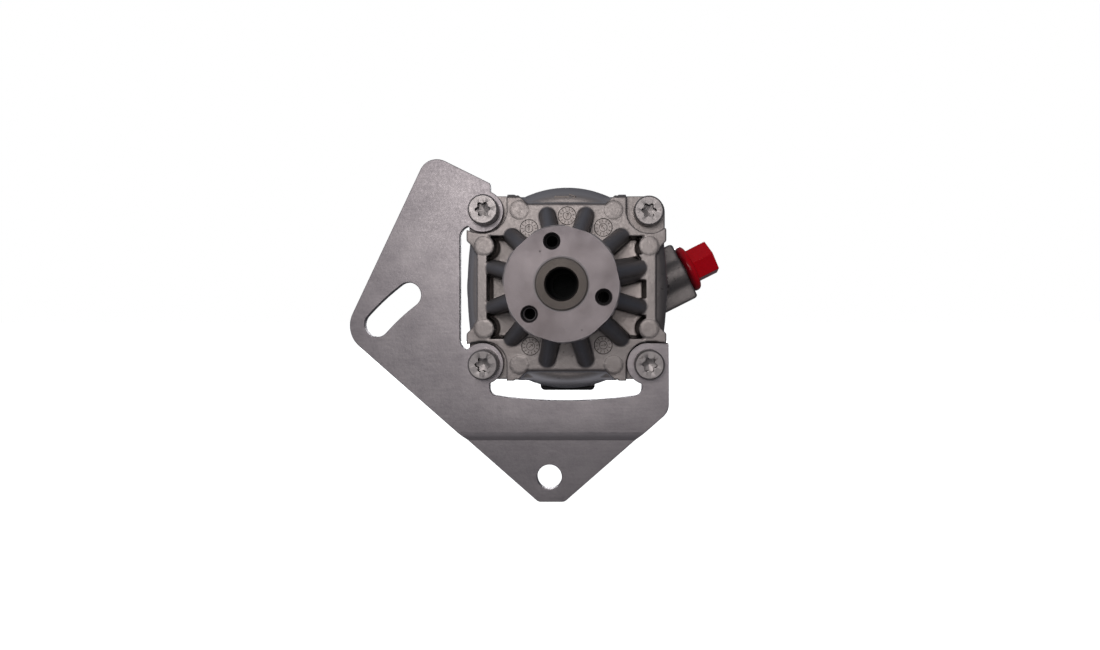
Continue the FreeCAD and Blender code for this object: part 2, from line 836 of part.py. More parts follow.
flank = pad(cover, flank_sketch(cover, "flank_outline", s.cover_back), s.cover_back - s.skirt_front)
bow, half_chord = s.flank_bow.number, s.flank_z.number
flank_middle = s.flank_x + bow - math.sqrt(bow ** 2 - half_chord ** 2)
fillet(cover, flank, [
    (side * flank_middle, s.skirt_front, 0) for side in sides
], s.flank_round)
face_sketch = sketch(cover, "face_outline", depth=s.cover_back)
outline(face_sketch, box_points(
    0 - s.cover_half_width, 0 - s.cover_half_height, s.cover_half_width, s.cover_half_height))
face = pad(cover, face_sketch, s.cover_back - s.cover_face)
fillet(cover, face, [
    *[(side * s.cover_half_width, s.cover_face, 0) for side in sides],
    *[(0, s.cover_face, side * s.cover_half_height) for side in sides],
], s.face_round)
foot_sketch = sketch(cover, "foot_outline", depth=s.cover_back)
outline(foot_sketch, box_points(
    0 - s.foot_half_width, s.foot_z, s.foot_half_width, 0 - s.pocket_half_height))
foot = pad(cover, foot_sketch, s.cover_back - s.foot_front)
middle_depth = (s.foot_front + s.cover_back) / 2
fillet(cover, foot, [
    (side * s.foot_half_width, middle_depth, s.foot_z) for side in sides
], s.foot_round)


def ear_sketch(owner, name, depth):
    """The four ear blocks round the cover screws."""
    profile = sketch(owner, name, depth=depth)
    tip = s.ear_tip_cut
    for across, up in corners:
        outline(profile, [(across * x, up * z) for x, z in (
            (s.ear_inner_x, s.ear_inner_z), (s.ear_outer_x - tip, s.ear_inner_z),
            (s.ear_outer_x, s.ear_inner_z + tip), (s.ear_outer_x, s.ear_outer_z),
            (s.ear_inner_x + tip, s.ear_outer_z), (s.ear_inner_x, s.ear_outer_z - tip),
        )])
    return profile


ears = pad(cover, ear_sketch(cover, "ear_outline", s.cover_back), s.cover_back - s.cover_face)
ears = fillet(cover, ears, [
    (across * s.ear_outer_x, s.cover_back - 1, up * s.ear_outer_z) for across, up in corners
], s.ear_round)
window_sketch = sketch(cover, "pocket_outline", depth=s.cover_face)
for across in sides:
    outline(window_sketch, [
        (across * as_size(1), 0),
        (across * s.pocket_half_height, s.pocket_half_height - 1),
        (across * s.pocket_half_height, s.pocket_half_height),
        (across * s.pocket_wall, s.pocket_half_height),
        (across * s.pocket_wall, 0 - s.pocket_half_height),
        (across * s.pocket_half_height, 0 - s.pocket_half_height),
        (across * s.pocket_half_height, 1 - s.pocket_half_height),
    ])
windows = pocket(cover, window_sketch, pocket_depth, s.pocket_draft)
drawn_in = pocket_depth / 2 * tan(s.pocket_draft)
corner_x, corner_z = s.pocket_wall - drawn_in, s.pocket_half_height - drawn_in
fillet(cover, windows, [
    (across * corner_x, s.cover_face + pocket_depth / 2, up * corner_z) for across, up in corners
], s.pocket_round)
boss_sketch = sketch(cover, "pad_boss_outline", depth=s.pocket_floor)
boss_foot = s.pad_boss_radius + pocket_depth * tan(s.pocket_draft)
for across, up in corners:
    circle(boss_sketch, across * s.pad_outer_x, up * s.pad_outer_z, boss_foot)
boss = pad(cover, boss_sketch, pocket_depth)
bind(boss, "TaperAngle", 0 - s.pocket_draft)
sound(boss)

turned(cover, "nose_profile", [
    (0, s.nose_front), (s.nose_radius - s.casting_edge, s.nose_front),
    (s.nose_radius, s.nose_front + s.casting_edge), (s.nose_root_radius, s.pocket_floor),
    (0, s.pocket_floor),
])

rake = (s.rib_reach - s.rib_top_reach) / (s.cover_face - s.rib_top)
rib_height = s.pocket_floor - s.rib_top


def raked_rib(name, reach, half_width, turn):
    """A rib that leans in towards the nose: a web, and a round outer end."""
    lean = (0 - rake * cos(turn), as_size(-1), 0 - rake * sin(turn))
    web_sketch = sketch(cover, name + "_web", depth=s.pocket_floor)
    foot_reach = reach - half_width + rake * pocket_depth
    outline(web_sketch, [
        turned_point(reach, side * half_width, turn) for reach, side in (
            (s.rib_root, -1), (foot_reach, -1), (foot_reach, 1), (s.rib_root, 1))
    ])
    web = pad(cover, web_sketch, rib_height, lean)
    end_sketch = sketch(cover, name + "_end", depth=s.pocket_floor)
    circle(end_sketch, *polar(foot_reach, turn), half_width)
    return [web, pad(cover, end_sketch, rib_height, lean)]


rib_rows = ((s.rib_turn, 4), (90 - s.rib_turn, 4), (s.screw_turn, 2), (180 - s.screw_turn, 2))
for number, (turn, count) in enumerate(rib_rows, 1):
    rib = raked_rib(f"rib_{number}", s.rib_reach, s.rib_half_width, turn)
    ring_of(cover, rib, as_size(count))
raked_rib("duct", s.pocket_wall - s.duct_inset, s.duct_radius, s.rib_turn)

recess_sketch = sketch(cover, "recess_outline", depth=s.cover_face)
for across, up in corners:
    near_x = across * (s.screw_half_x - s.recess_radius)
    near_z = up * (s.screw_half_z - s.recess_radius)
    far_x = across * (s.ear_outer_x + s.recess_radius)
    far_z = up * (s.ear_outer_z + s.recess_radius)
    outline(recess_sketch, [
        (near_x, up * s.screw_half_z), (across * s.screw_half_x, near_z),
        (far_x, near_z), (far_x, far_z), (near_x, far_z),
    ], {0: (s.recess_radius, across * up)})
pocket(cover, recess_sketch, s.recess - s.cover_face)
hole_sketch = sketch(cover, "screw_hole_outline", depth=s.cover_face)
for x, z in screw_places:
    circle(hole_sketch, x, z, s.screw_radius + s.screw_hole_gap)
pocket(cover, hole_sketch, s.cover_back - s.cover_face)
turned(cover, "nose_bore", [
    (0, s.nose_front - s.cut_over),
    (s.bearing_outer_radius, s.nose_front - s.cut_over),
    (s.bearing_outer_radius, circlip_front),
    (clip_outer + s.clip_groove_gap, circlip_front),
    (clip_outer + s.clip_groove_gap, bearing_front),
    (s.bearing_outer_radius, bearing_front),
    (s.bearing_outer_radius, bearing_back),
    (s.seal_radius, bearing_back),
    (s.seal_radius, bearing_back + s.seal_room),
    (s.drain_radius, bearing_back + s.seal_room + s.drain_room),
    (s.drain_radius, s.cover_back + s.cut_over),
    (0, s.cover_back + s.cut_over),
], cut=True)
pin_places = [(0, side * s.pin_circle) for side in sides]
pin_sketch = sketch(cover, "cover_pin_outline", depth=s.cover_back - s.pin_sink)
for x, z in pin_places:
    circle(pin_sketch, x, z, s.pin_radius + s.fit_gap / 2)
pocket(cover, pin_sketch, s.pin_sink)
stamp_sketch = sketch(cover, "pad_outline", depth=s.cover_face)
for across, up in corners:
    circle(stamp_sketch, across * s.pad_inner_x, up * s.pad_inner_z, s.pad_radius)
for across, up in corners:
    circle(stamp_sketch, across * s.pad_outer_x, up * s.pad_outer_z, s.pad_radius)
pad(cover, stamp_sketch, s.pad_height)
pieces.append(cover)

# Rear housing: a pot with ears, the valve barrel and outlet plate across its back.
housing = body("rear_housing")
turned(housing, "pot_profile", [
    (0, s.cover_back), (s.skirt_radius, s.cover_back),
    (s.skirt_radius, s.cover_back + s.housing_flange),
    (s.housing_neck_radius, s.cover_back + s.housing_flange + s.housing_slope),
    (s.housing_rear_radius, s.housing_back - s.housing_rear_round),
    (s.housing_rear_radius - s.housing_rear_round, s.housing_back),
    (0, s.housing_back),
])
ear_back = s.cover_back + s.housing_flange
pad(housing, flank_sketch(housing, "housing_flank_outline", ear_back), s.housing_flange)
ears = pad(housing, ear_sketch(housing, "housing_ear_outline", ear_back), s.housing_flange)
ears = fillet(housing, ears, [
    (across * s.ear_outer_x, s.cover_back + 1, up * s.ear_outer_z) for across, up in corners
], s.ear_round)
ear_boss = sketch(housing, "ear_boss_outline", depth=s.cover_back + s.ear_boss_length)
for x, z in screw_places:
    circle(ear_boss, x, z, s.ear_boss_radius)
pad(housing, ear_boss, s.ear_boss_length - s.housing_flange / 2)


def port_point(along, aside):
    """Point in the outlet's own axes: along it, and aside from it (down and right)."""
    across = s.port_offset + aside
    return (
        along * cos(s.port_turn) + across * sin(s.port_turn),
        along * sin(s.port_turn) - across * cos(s.port_turn),
    )


def port_round(owner, name, points, cut=False):
    """Turns a profile of (along, radius) corners about the outlet's axis."""
    profile = sketch(owner, name, depth=s.port_depth)
    outline(profile, [port_point(along, radius) for along, radius in points])
    ends = [port_point(as_size(along), as_size(0)) for along in (-80, 80)]
    spots = [Vector(x.number, z.number, 0) for x, z in ends]
    axis = profile.addGeometry(Part.LineSegment(*spots), True)
    for index, (x, z) in enumerate(ends, 1):
        hold(profile, axis, index, x, z)
    kind = "PartDesign::Groove" if cut else "PartDesign::Revolution"
    thing = owner.newObject(kind, name + "_turn")
    thing.Profile = profile
    thing.ReferenceAxis = (profile, ["Axis0"])
    thing.Angle = 360
    return sound(thing)


port_round(housing, "barrel_profile", [
    (s.barrel_end, as_size(0)),
    (s.barrel_end, s.barrel_radius - s.barrel_cone),
    (s.barrel_end + s.barrel_cone, s.barrel_radius),
    (s.port_face, s.barrel_radius),
    (s.port_face, as_size(0)),
])
port_sketch = sketch(housing, "port_plate_outline", depth=s.port_plate_back)
port_low = s.port_shift + s.port_half_width
port_high = s.port_shift - s.port_half_width
outline(port_sketch, [
    port_point(s.port_plate_start, port_high), port_point(s.port_plate_start, port_low),
    port_point(s.port_face, port_low), port_point(s.port_face, port_high),
])
port_plate = pad(housing, port_sketch, s.port_plate_back - s.port_plate_front)
port_corners = [port_point(s.port_face, edge) for edge in (port_low, port_high)]
fillet(housing, port_plate, [(x, s.port_plate_back - 2, z) for x, z in port_corners], s.port_plate_round)
suction_sketch = sketch(housing, "suction_boss_outline", depth=s.housing_back + s.suction_boss_height)
circle(suction_sketch, s.suction_x, s.suction_z, s.suction_boss_radius)
pad(housing, suction_sketch, s.suction_boss_height * 2)
groove_inner = s.seal_groove_radius - s.seal_groove_width / 2
groove_outer = s.seal_groove_radius + s.seal_groove_width / 2
turned(housing, "cavity_profile", [
    (0, s.cover_back - s.cut_over), (s.cavity_radius, s.cover_back - s.cut_over), (s.cavity_radius, s.cavity_back),
    (s.bush_radius, s.cavity_back), (s.bush_radius, bush_back), (s.journal_radius, bush_back),
    (s.journal_radius, bush_back + s.bush_drain), (0, bush_back + s.bush_drain),
], cut=True)
turned(housing, "seal_groove_profile", [
    (groove_inner, s.cover_back - s.cut_over), (groove_outer, s.cover_back - s.cut_over),
    (groove_outer, s.cover_back + s.seal_groove_depth),
    (groove_inner, s.cover_back + s.seal_groove_depth),
], cut=True)
union_seat = s.port_face - s.union_length
port_round(housing, "valve_bore_profile", [
    (s.valve_bore_end, as_size(0)),
    (s.valve_bore_end + s.valve_bore / 2, s.valve_bore),
    (union_seat, s.valve_bore),
    (union_seat, s.union_radius),
    (s.port_face + s.cut_over, s.union_radius),
    (s.port_face + s.cut_over, as_size(0)),
], cut=True)
tap_sketch = sketch(housing, "screw_tap_outline", depth=s.cover_back)
for x, z in screw_places:
    circle(tap_sketch, x, z, s.screw_radius + s.fit_gap / 2)
pocket(housing, tap_sketch, s.screw_tap_depth)
feed_sketch = sketch(housing, "feed_outline", depth=s.cavity_back)
circle(feed_sketch, *port_point(s.feed_place, as_size(0)), s.feed_radius)
pocket(housing, feed_sketch, s.port_depth - s.cavity_back)
suction_top = s.housing_back + s.suction_boss_height
inlet_sketch = sketch(housing, "inlet_outline", depth=s.cavity_back)
circle(inlet_sketch, s.suction_x, s.suction_z, s.suction_bore)
pocket(housing, inlet_sketch, suction_top - s.cavity_back)
seat_sketch = sketch(housing, "inlet_seat_outline", depth=suction_top - s.suction_seat)
circle(seat_sketch, s.suction_x, s.suction_z, s.suction_radius + s.fit_gap / 2)
pocket(housing, seat_sketch, s.suction_seat)
pieces.append(housing)

# Ring between cover and housing.
cover_ring = doc.addObject("Part::Torus", "cover_seal_ring")
bind(cover_ring, "Radius1", s.seal_groove_radius)
bind(cover_ring, "Radius2", s.seal_cord_radius)
cover_ring.Placement = Placement(Vector(0, 0, 0), Rotation(Vector(1, 0, 0), 90))
bind(cover_ring, "Placement.Base.y", s.cover_back + s.seal_groove_depth / 2)
pieces.append(cover_ring)

# Cover screws: the upper right one sits on the cover, the others on the bracket.
screw_turns = (-4.0, 0.0, 2.0, 8.0)
for number, ((x, z), turn) in enumerate(zip(screw_places, screw_turns), 1):
    screw = body(f"cover_screw_{number}")
    head = 0 - s.screw_head_height
    turned(screw, f"screw_{number}_profile", [
        (0, head), (s.screw_head_radius - s.screw_head_edge, head),
        (s.screw_head_radius, head + s.screw_head_edge), (s.screw_head_radius, 0),
        (s.screw_radius, 0), (s.screw_radius, s.screw_length - s.screw_tip),
        (s.screw_radius - s.screw_tip, s.screw_length), (0, s.screw_length),
    ])
    core_sketch = sketch(screw, f"screw_{number}_core", depth=head)
    circle(core_sketch, 0, 0, s.lobe_core)
    pocket(screw, core_sketch, s.lobe_depth)
    lobe_sketch = sketch(screw, f"screw_{number}_lobe", depth=head)
    circle(lobe_sketch, s.lobe_circle, 0, s.lobe_radius)
    lobe = pocket(screw, lobe_sketch, s.lobe_depth)
    ring_of(screw, [lobe], s.lobe_count)
    seat = s.recess if number == 2 else s.plate_front
    place(screw, x, seat, z, turn)
    pieces.append(screw)

# Cartridge: two plates with kidney ports round an oval cam ring.
kidney_turns = [s.kidney_turn + step * 90 for step in range(4)]


def kidneys(owner, name, depth):
    """Four ports, as wide as the oval leaves between rotor and cam."""
    profile = sketch(owner, name, depth=depth)
    for turn in kidney_turns:
        low, high = turn - s.kidney_half_angle, turn + s.kidney_half_angle
        outline(profile, [
            polar(s.kidney_inner, high), polar(s.kidney_inner, low),
            polar(s.kidney_outer, low), polar(s.kidney_outer, high),
        ], {0: (s.kidney_inner, -1), 2: (s.kidney_outer, 1)})
    return profile


def cartridge_plate(label, front, back, bore, step=None):
    """A port plate with pin holes; step is a wider s.recess on its front."""
    plate = body(label)
    inside = [(bore, back), (bore, front)]
    if step:
        inside = [(bore, back), (bore, front + step[1]), (step[0], front + step[1]), (step[0], front)]
    turned(plate, label + "_profile", [(cartridge_radius, front), (cartridge_radius, back)] + inside)
    pocket(plate, kidneys(plate, label + "_ports", front), back - front)
    pins = sketch(plate, label + "_pins", depth=front)
    for x, z in pin_places:
        circle(pins, x, z, s.pin_radius + s.fit_gap / 2)
    pocket(plate, pins, back - front)
    return plate


pieces.append(cartridge_plate("front_plate", s.cover_back, s.plate_back, s.front_plate_bore))
clip_recess = (s.rotor_seat_radius + s.rotor_clip_wall + s.clip_side_room, s.clip_room)
pieces.append(cartridge_plate("rear_plate", s.cam_back, s.cartridge_back, s.rear_plate_bore, clip_recess))

cam_blank = doc.addObject("Part::Cylinder", "cam_blank")
bind(cam_blank, "Radius", cartridge_radius)
bind(cam_blank, "Height", s.cam_width)
cam_oval = doc.addObject("Part::Ellipse", "cam_oval")
bind(cam_oval, "MajorRadius", s.cam_long)
bind(cam_oval, "MinorRadius", s.cam_short)
cam_core = doc.addObject("Part::Extrusion", "cam_core")
cam_core.Base = cam_oval
cam_core.DirMode = "Custom"
cam_core.Dir = Vector(0, 0, 1)
cam_core.Solid = True
bind(cam_core, "LengthFwd", s.cam_width)
cam_holes = []
for number, (x, z) in enumerate(pin_places, 1):
    hole = doc.addObject("Part::Cylinder", f"cam_pin_hole_{number}")
    bind(hole, "Radius", s.pin_radius + s.fit_gap / 2)
    bind(hole, "Height", s.cam_width)
    bind(hole, "Placement.Base.y", 0 - as_size(z))
    cam_holes.append(hole)
cam_cutter = doc.addObject("Part::MultiFuse", "cam_cutter")
cam_cutter.Shapes = [cam_core] + cam_holes
cam = doc.addObject("Part::Cut", "cam_ring")
cam.Base = cam_blank
cam.Tool = cam_cutter
cam.Placement = Placement(Vector(0, 0, 0), Rotation(Vector(1, 0, 0), -90))
bind(cam, "Placement.Base.y", s.plate_back)
pieces.append(cam)

# Rotor with ten vane slots, splined on the shaft.
rotor = body("rotor")
rotor_front = s.plate_back + s.rotor_side_gap
rotor_back = s.cam_back - s.rotor_side_gap
rotor_bore = s.rotor_seat_radius + s.fit_gap
turned(rotor, "rotor_profile", [
    (rotor_bore, rotor_front), (s.rotor_radius, rotor_front),
    (s.rotor_radius, rotor_back), (rotor_bore, rotor_back),
])
slot_root = s.rotor_radius - s.vane_height - s.vane_foot_room
vane_slot = sketch(rotor, "vane_slot_outline", depth=rotor_front)
outline(vane_slot, box_points(
    slot_root, 0 - s.vane_thickness / 2 - s.vane_gap,
    s.rotor_radius + 1, s.vane_thickness / 2 + s.vane_gap))
rotor_width = s.cam_width - s.rotor_side_gap * 2
slot_cut = pocket(rotor, vane_slot, rotor_width)
root_sketch = sketch(rotor, "slot_root_outline", depth=rotor_front)
circle(root_sketch, slot_root, 0, s.slot_root_radius)
root_cut = pocket(rotor, root_sketch, rotor_width)
ring_of(rotor, [slot_cut, root_cut], s.vane_count)
tooth_sketch = sketch(rotor, "rotor_tooth_outline", depth=rotor_back)
outline(tooth_sketch, box_points(
    s.rotor_seat_radius - s.spline_depth + s.fit_gap * 2, s.fit_gap * 2 - s.spline_width / 2,
    rotor_bore + s.tooth_root, s.spline_width / 2 - s.fit_gap * 2))
tooth = pad(rotor, tooth_sketch, rotor_width)
ring_of(rotor, [tooth], s.spline_count)
pieces.append(rotor)

vanes = []
for step in range(int(s.vane_count.number)):
    turn = step * 360 / s.vane_count
    vane = doc.addObject("Part::Box", f"vane_{step + 1}")
    bind(vane, "Length", s.vane_height)
    bind(vane, "Height", s.vane_thickness)
    bind(vane, "Width", rotor_width)
    reach = s.rotor_radius - s.vane_height - s.vane_tip_drop
    half = s.vane_thickness / 2
    place(vane,
          reach * cos(turn) + half * sin(turn), rotor_front,
          reach * sin(turn) - half * cos(turn), 0 - turn)
    vanes.append(vane)
vane_set = doc.addObject("Part::Compound", "vane_set")
vane_set.Links = vanes
pieces.append(vane_set)

rotor_clip = body("rotor_circlip")
clip_inner = s.rotor_seat_radius - s.rotor_clip_bite + s.fit_gap
turned(rotor_clip, "rotor_clip_profile", [
    (clip_inner, s.cam_back + s.fit_gap), (clip_inner + s.rotor_clip_wall, s.cam_back + s.fit_gap),
    (clip_inner + s.rotor_clip_wall, s.cam_back + s.rotor_clip_thickness - s.fit_gap),
    (clip_inner, s.cam_back + s.rotor_clip_thickness - s.fit_gap),
])
rotor_clip_gap = sketch(rotor_clip, "rotor_clip_gap", depth=s.cam_back)
outline(rotor_clip_gap, box_points(
    0 - s.rotor_clip_opening, 0 - s.rotor_seat_radius * 1.6,
    s.rotor_clip_opening, 0 - s.rotor_seat_radius / 2))
pocket(rotor_clip, rotor_clip_gap, s.rotor_clip_thickness + 1)
pieces.append(rotor_clip)

# Locating pins through the cartridge into the cover.
for number, (x, z) in enumerate(pin_places, 1):
    pin = body(f"locating_pin_{number}")
    pin_start = s.cover_back - s.pin_sink
    tip = s.pin_tip
    turned(pin, f"pin_{number}_profile", [
        (0, pin_start), (s.pin_radius - tip, pin_start), (s.pin_radius, pin_start + tip),
        (s.pin_radius, s.cartridge_back - tip), (s.pin_radius - tip, s.cartridge_back),
        (0, s.cartridge_back),
    ])
    place(pin, x, 0, z)
    pieces.append(pin)

# Dished spring washer that keeps the cartridge shut.
washer = body("plate_spring")
turned(washer, "washer_profile", [
    (s.spring_inner, s.cartridge_back), (s.spring_inner + s.spring_sheet / 2, s.cartridge_back),
    (s.spring_outer, s.cavity_back - s.spring_sheet), (s.spring_outer, s.cavity_back),
    (s.spring_outer - s.spring_sheet / 2, s.cavity_back),
    (s.spring_inner, s.cartridge_back + s.spring_sheet),
])
pieces.append(washer)

# Plain bush of the rear journal.
bush = body("rear_bush")
turned(bush, "bush_profile", [
    (s.journal_radius + s.fit_gap, bush_front), (s.bush_radius - s.fit_gap / 2, bush_front),
    (s.bush_radius - s.fit_gap / 2, bush_back), (s.journal_radius + s.fit_gap, bush_back),
])
pieces.append(bush)


def along_port(thing):
    """Seats a piece that was turned about its own X on the outlet's axis."""
    x, z = port_point(as_size(0), as_size(0))
    place(thing, x, s.port_depth, z, 0 - s.port_turn)


def turned_on_port(label, points):
    """A round piece of the outlet, given as (along, radius) corners."""
    thing = body(label)
    turned(thing, label + "_profile", points, axis="H_Axis")
    along_port(thing)
    pieces.append(thing)
    return thing


# Threaded sleeve that closes the valve bore; the spool rests on its inner end.
sleeve = s.union_radius - s.fit_gap / 2
ring_start = union_seat + s.union_ring_place
ring_bed = sleeve - s.union_ring_groove
turned_on_port("outlet_union", [
    (union_seat, s.union_throat), (union_seat, sleeve),
    (ring_start, sleeve), (ring_start, ring_bed),
    (ring_start + s.union_ring_width, ring_bed), (ring_start + s.union_ring_width, sleeve),
    (s.port_face, sleeve), (s.port_face, s.union_bore),
    (union_seat + s.union_floor + s.union_funnel, s.union_bore),
    (union_seat + s.union_floor, s.union_throat),
])
ring_section = s.union_ring_groove / 2 - s.seal_cord_gap
union_ring = doc.addObject("Part::Torus", "union_seal_ring")
bind(union_ring, "Radius1", ring_bed + s.union_ring_groove / 2)
bind(union_ring, "Radius2", ring_section)
ring_x, ring_z = port_point(ring_start + s.union_ring_width / 2, as_size(0))
union_ring.Placement = Placement(Vector(0, 0, 0), Rotation(Vector(0, 1, 0), 1))
bind(union_ring, "Placement.Base.x", ring_x)
bind(union_ring, "Placement.Base.y", s.port_depth)
bind(union_ring, "Placement.Base.z", ring_z)
bind(union_ring, "Placement.Rotation.Angle", 90 - s.port_turn)
pieces.append(union_ring)

# Flow valve: a two-land spool, hollow at the back for its spring.
spool_front = union_seat - s.spool_front_gap
spool_back = spool_front - s.spool_length
spool_radius = s.valve_bore - s.valve_gap
cup_floor = spool_back + s.spool_land - s.spool_cup_floor
turned_on_port("valve_spool", [
    (spool_front, as_size(0)), (spool_front, spool_radius),
    (spool_front - s.spool_land, spool_radius), (spool_front - s.spool_land, s.spool_waist),
    (spool_back + s.spool_land, s.spool_waist), (spool_back + s.spool_land, spool_radius),
    (spool_back, spool_radius), (spool_back, s.spool_cup),
    (cup_floor, s.spool_cup), (cup_floor, as_size(0)),
])

# Compression spring between the spool's cup and the blind end of the bore.
spring_start = s.valve_bore_end + s.valve_bore / 2 + s.valve_seat_gap
spring_stop = cup_floor - s.spool_front_gap
spring_height = (spring_stop - spring_start - s.valve_wire * 2).number
coil = Part.makeHelix(spring_height / s.valve_turns.number, spring_height, s.valve_coil.number)
wire_start = Part.Circle(
    Vector(s.valve_coil.number, 0, 0), Vector(0, 1, 0), s.valve_wire.number).toShape()
valve_spring = doc.addObject("Part::Feature", "valve_spring")
valve_spring.Shape = Part.Wire(coil.Edges).makePipeShell([Part.Wire([wire_start])], True, True)
spring_x, spring_z = port_point(spring_start + s.valve_wire, as_size(0))
valve_spring.Placement = Placement(
    Vector(spring_x.number, s.port_depth.number, spring_z.number),
    Rotation(Vector(0, 1, 0), 90 - s.port_turn.number))
pieces.append(valve_spring)

# Plastic transport plug: round flange, hollow stem and a hollow hexagon cap.
plug = body("port_plug")
plug_start = s.port_face + s.fit_gap
cap_start = plug_start + s.plug_flange_thickness
cap_end = cap_start + s.plug_hex_length
stem_end = plug_start - s.plug_stem_length
rim = s.plug_flange_thickness / 2 - s.plug_rim_land
flange_disc = turned(plug, "plug_profile", [
    (stem_end, as_size(0)), (stem_end, s.plug_stem_radius - s.plug_stem_tip),
    (stem_end + s.plug_stem_tip, s.plug_stem_radius),
    (plug_start, s.plug_stem_radius), (plug_start, s.plug_flange_radius),
    (cap_start, s.plug_flange_radius), (cap_start, as_size(0)),
], axis="H_Axis")
fillet(plug, flange_disc, [
    (plug_start, s.plug_flange_radius, 0), (cap_start, s.plug_flange_radius, 0)], rim)
hex_sketch = sketch(plug, "plug_hexagon", "YZ_Plane", cap_start - 0.5)
outline(hex_sketch, [polar(s.plug_flat / cos(30), 30 + 60 * step) for step in range(6)])
hexagon = pad(plug, hex_sketch, s.plug_hex_length + 0.5)
hollow = s.plug_flat - s.plug_wall
turned(plug, "plug_hollow", [
    (stem_end - 1, as_size(0)), (stem_end - 1, s.plug_stem_radius - s.plug_wall),
    (plug_start + 1, s.plug_stem_radius - s.plug_wall),
    (cap_start, hollow), (cap_end - s.plug_wall, hollow), (cap_end - s.plug_wall, as_size(0)),
], cut=True, axis="H_Axis")
along_port(plug)
pieces.append(plug)

# Inlet tube pressed into the back of the housing, with a bead for its hose.
stub = body("suction_stub")
stub_start = suction_top - s.suction_seat
stub_end = suction_top + s.suction_length
bead_place = stub_end - s.suction_bead_place
bead_half = s.suction_bead_half
turned(stub, "stub_profile", [
    (s.suction_bore, stub_start), (s.suction_radius, stub_start),
    (s.suction_radius, bead_place - bead_half * 3),
    (s.suction_radius + s.suction_bead, bead_place - bead_half),
    (s.suction_radius + s.suction_bead, bead_place + bead_half),
    (s.suction_radius, bead_place + bead_half * 3),
    (s.suction_radius, stub_end - s.suction_edge),
    (s.suction_radius - s.suction_edge, stub_end),
    (s.suction_bore, stub_end),
])
place(stub, s.suction_x, 0, s.suction_z)
pieces.append(stub)

# Mounting bracket: the sheet's side view, joggled near its foot, under its outline.
side_reach = 1.4 * s.plate_left_x
top_reach = 1.3 * s.plate_top_z
foot_reach = 1.25 * s.plate_foot_z
step_front = s.plate_front + s.joggle_step
step_back = step_front + s.plate_thickness
back_drop = s.plate_thickness * 0.3
step_z = s.joggle_z - s.joggle_rise
band = body("plate_band")
side_view = sketch(band, "plate_side_view", "YZ_Plane", side_reach)
outline(side_view, [
    (s.plate_front, top_reach), (s.plate_front, s.joggle_z), (step_front, step_z),
    (step_front, foot_reach), (step_back, foot_reach), (step_back, step_z - back_drop),
    (s.recess, s.joggle_z - back_drop), (s.recess, top_reach),
])
band_pad = pad(band, side_view, 0 - 2 * side_reach)
band_pad = fillet(band, band_pad, [
    (0, s.plate_front, s.joggle_z), (0, step_back, step_z - back_drop),
], s.bend_radius + s.plate_thickness)
fillet(band, band_pad, [
    (0, step_front, step_z), (0, s.recess, s.joggle_z - back_drop),
], s.bend_radius)

blank = body("plate_blank")
blank_back = step_back + 2
blank_sketch = sketch(blank, "plate_outline", depth=blank_back)
lobe_left = 0 - s.screw_half_x
lobe_top = s.plate_lobe - s.screw_half_z - s.lobe_inset
window_edge = s.plate_lobe * 0.45
outline(blank_sketch, [
    (s.plate_top_x, s.plate_top_z), (s.plate_left_x, s.plate_left_z),
    (s.plate_foot_left, s.plate_foot_z), (s.plate_foot_right, s.plate_foot_z),
    (s.plate_right_x, s.plate_right_z), (s.plate_right_x, lobe_top),
    (s.screw_half_x, lobe_top), (s.screw_half_x, 0 - s.screw_half_z),
    (s.low_window_right, 0 - s.screw_half_z), (s.low_window_right, s.low_window_z),
    (s.low_window_left, s.low_window_z), (s.low_window_left, 0 - s.screw_half_z),
    (lobe_left - window_edge, s.side_window_bottom), (s.side_window_x, s.side_window_bottom),
    (s.side_window_x, s.side_window_top), (lobe_left - window_edge, s.side_window_top),
    (s.plate_notch_x, s.screw_half_z), (s.plate_notch_x, s.plate_notch_z),
], {9: (s.low_window_bow, -1)})
blank_depth = blank_back - s.plate_front + 2
plate_pad = pad(blank, blank_sketch, blank_depth)
rounds = (
    ([(s.plate_top_x, s.plate_top_z)], s.plate_top_round),
    ([(s.plate_left_x, s.plate_left_z)], s.plate_left_round),
    ([(s.plate_right_x, s.plate_right_z)], s.plate_right_round),
    ([(s.plate_foot_left, s.plate_foot_z), (s.plate_foot_right, s.plate_foot_z)],
     s.plate_foot_round),
    ([(s.side_window_x, s.side_window_top), (s.side_window_x, s.side_window_bottom)],
     s.side_window_round),
    ([(s.low_window_left, s.low_window_z), (s.low_window_right, s.low_window_z)],
     s.low_window_round),
)
for spots, radius in rounds:
    plate_pad = fillet(blank, plate_pad, [(x, s.plate_front, z) for x, z in spots], radius)
lobe_sketch = sketch(blank, "plate_lobe_outline", depth=blank_back)
for up in sides:
    circle(lobe_sketch, 0 - s.screw_half_x - s.lobe_out, up * s.screw_half_z, s.plate_lobe)
circle(lobe_sketch, s.plate_right_x - s.plate_lobe - s.lobe_inset, 0 - s.screw_half_z, s.plate_lobe)
pad(blank, lobe_sketch, blank_depth)
plate_holes = sketch(blank, "plate_hole_outline", depth=s.plate_front - 2)
for index in (0, 2, 3):
    circle(plate_holes, *screw_places[index], s.screw_radius + s.screw_hole_gap)
circle(plate_holes, s.pivot_x, s.pivot_z, s.pivot_radius)
pocket(blank, plate_holes, blank_depth)
slot_sketch = sketch(blank, "slot_outline", depth=s.plate_front - 2)
slot_ends = []
for radius in (s.slot_arc - s.slot_width / 2, s.slot_arc + s.slot_width / 2):
    for turn in (s.slot_start, s.slot_end):
        slot_ends.append((s.pivot_x + radius * cos(turn), s.pivot_z + radius * sin(turn)))
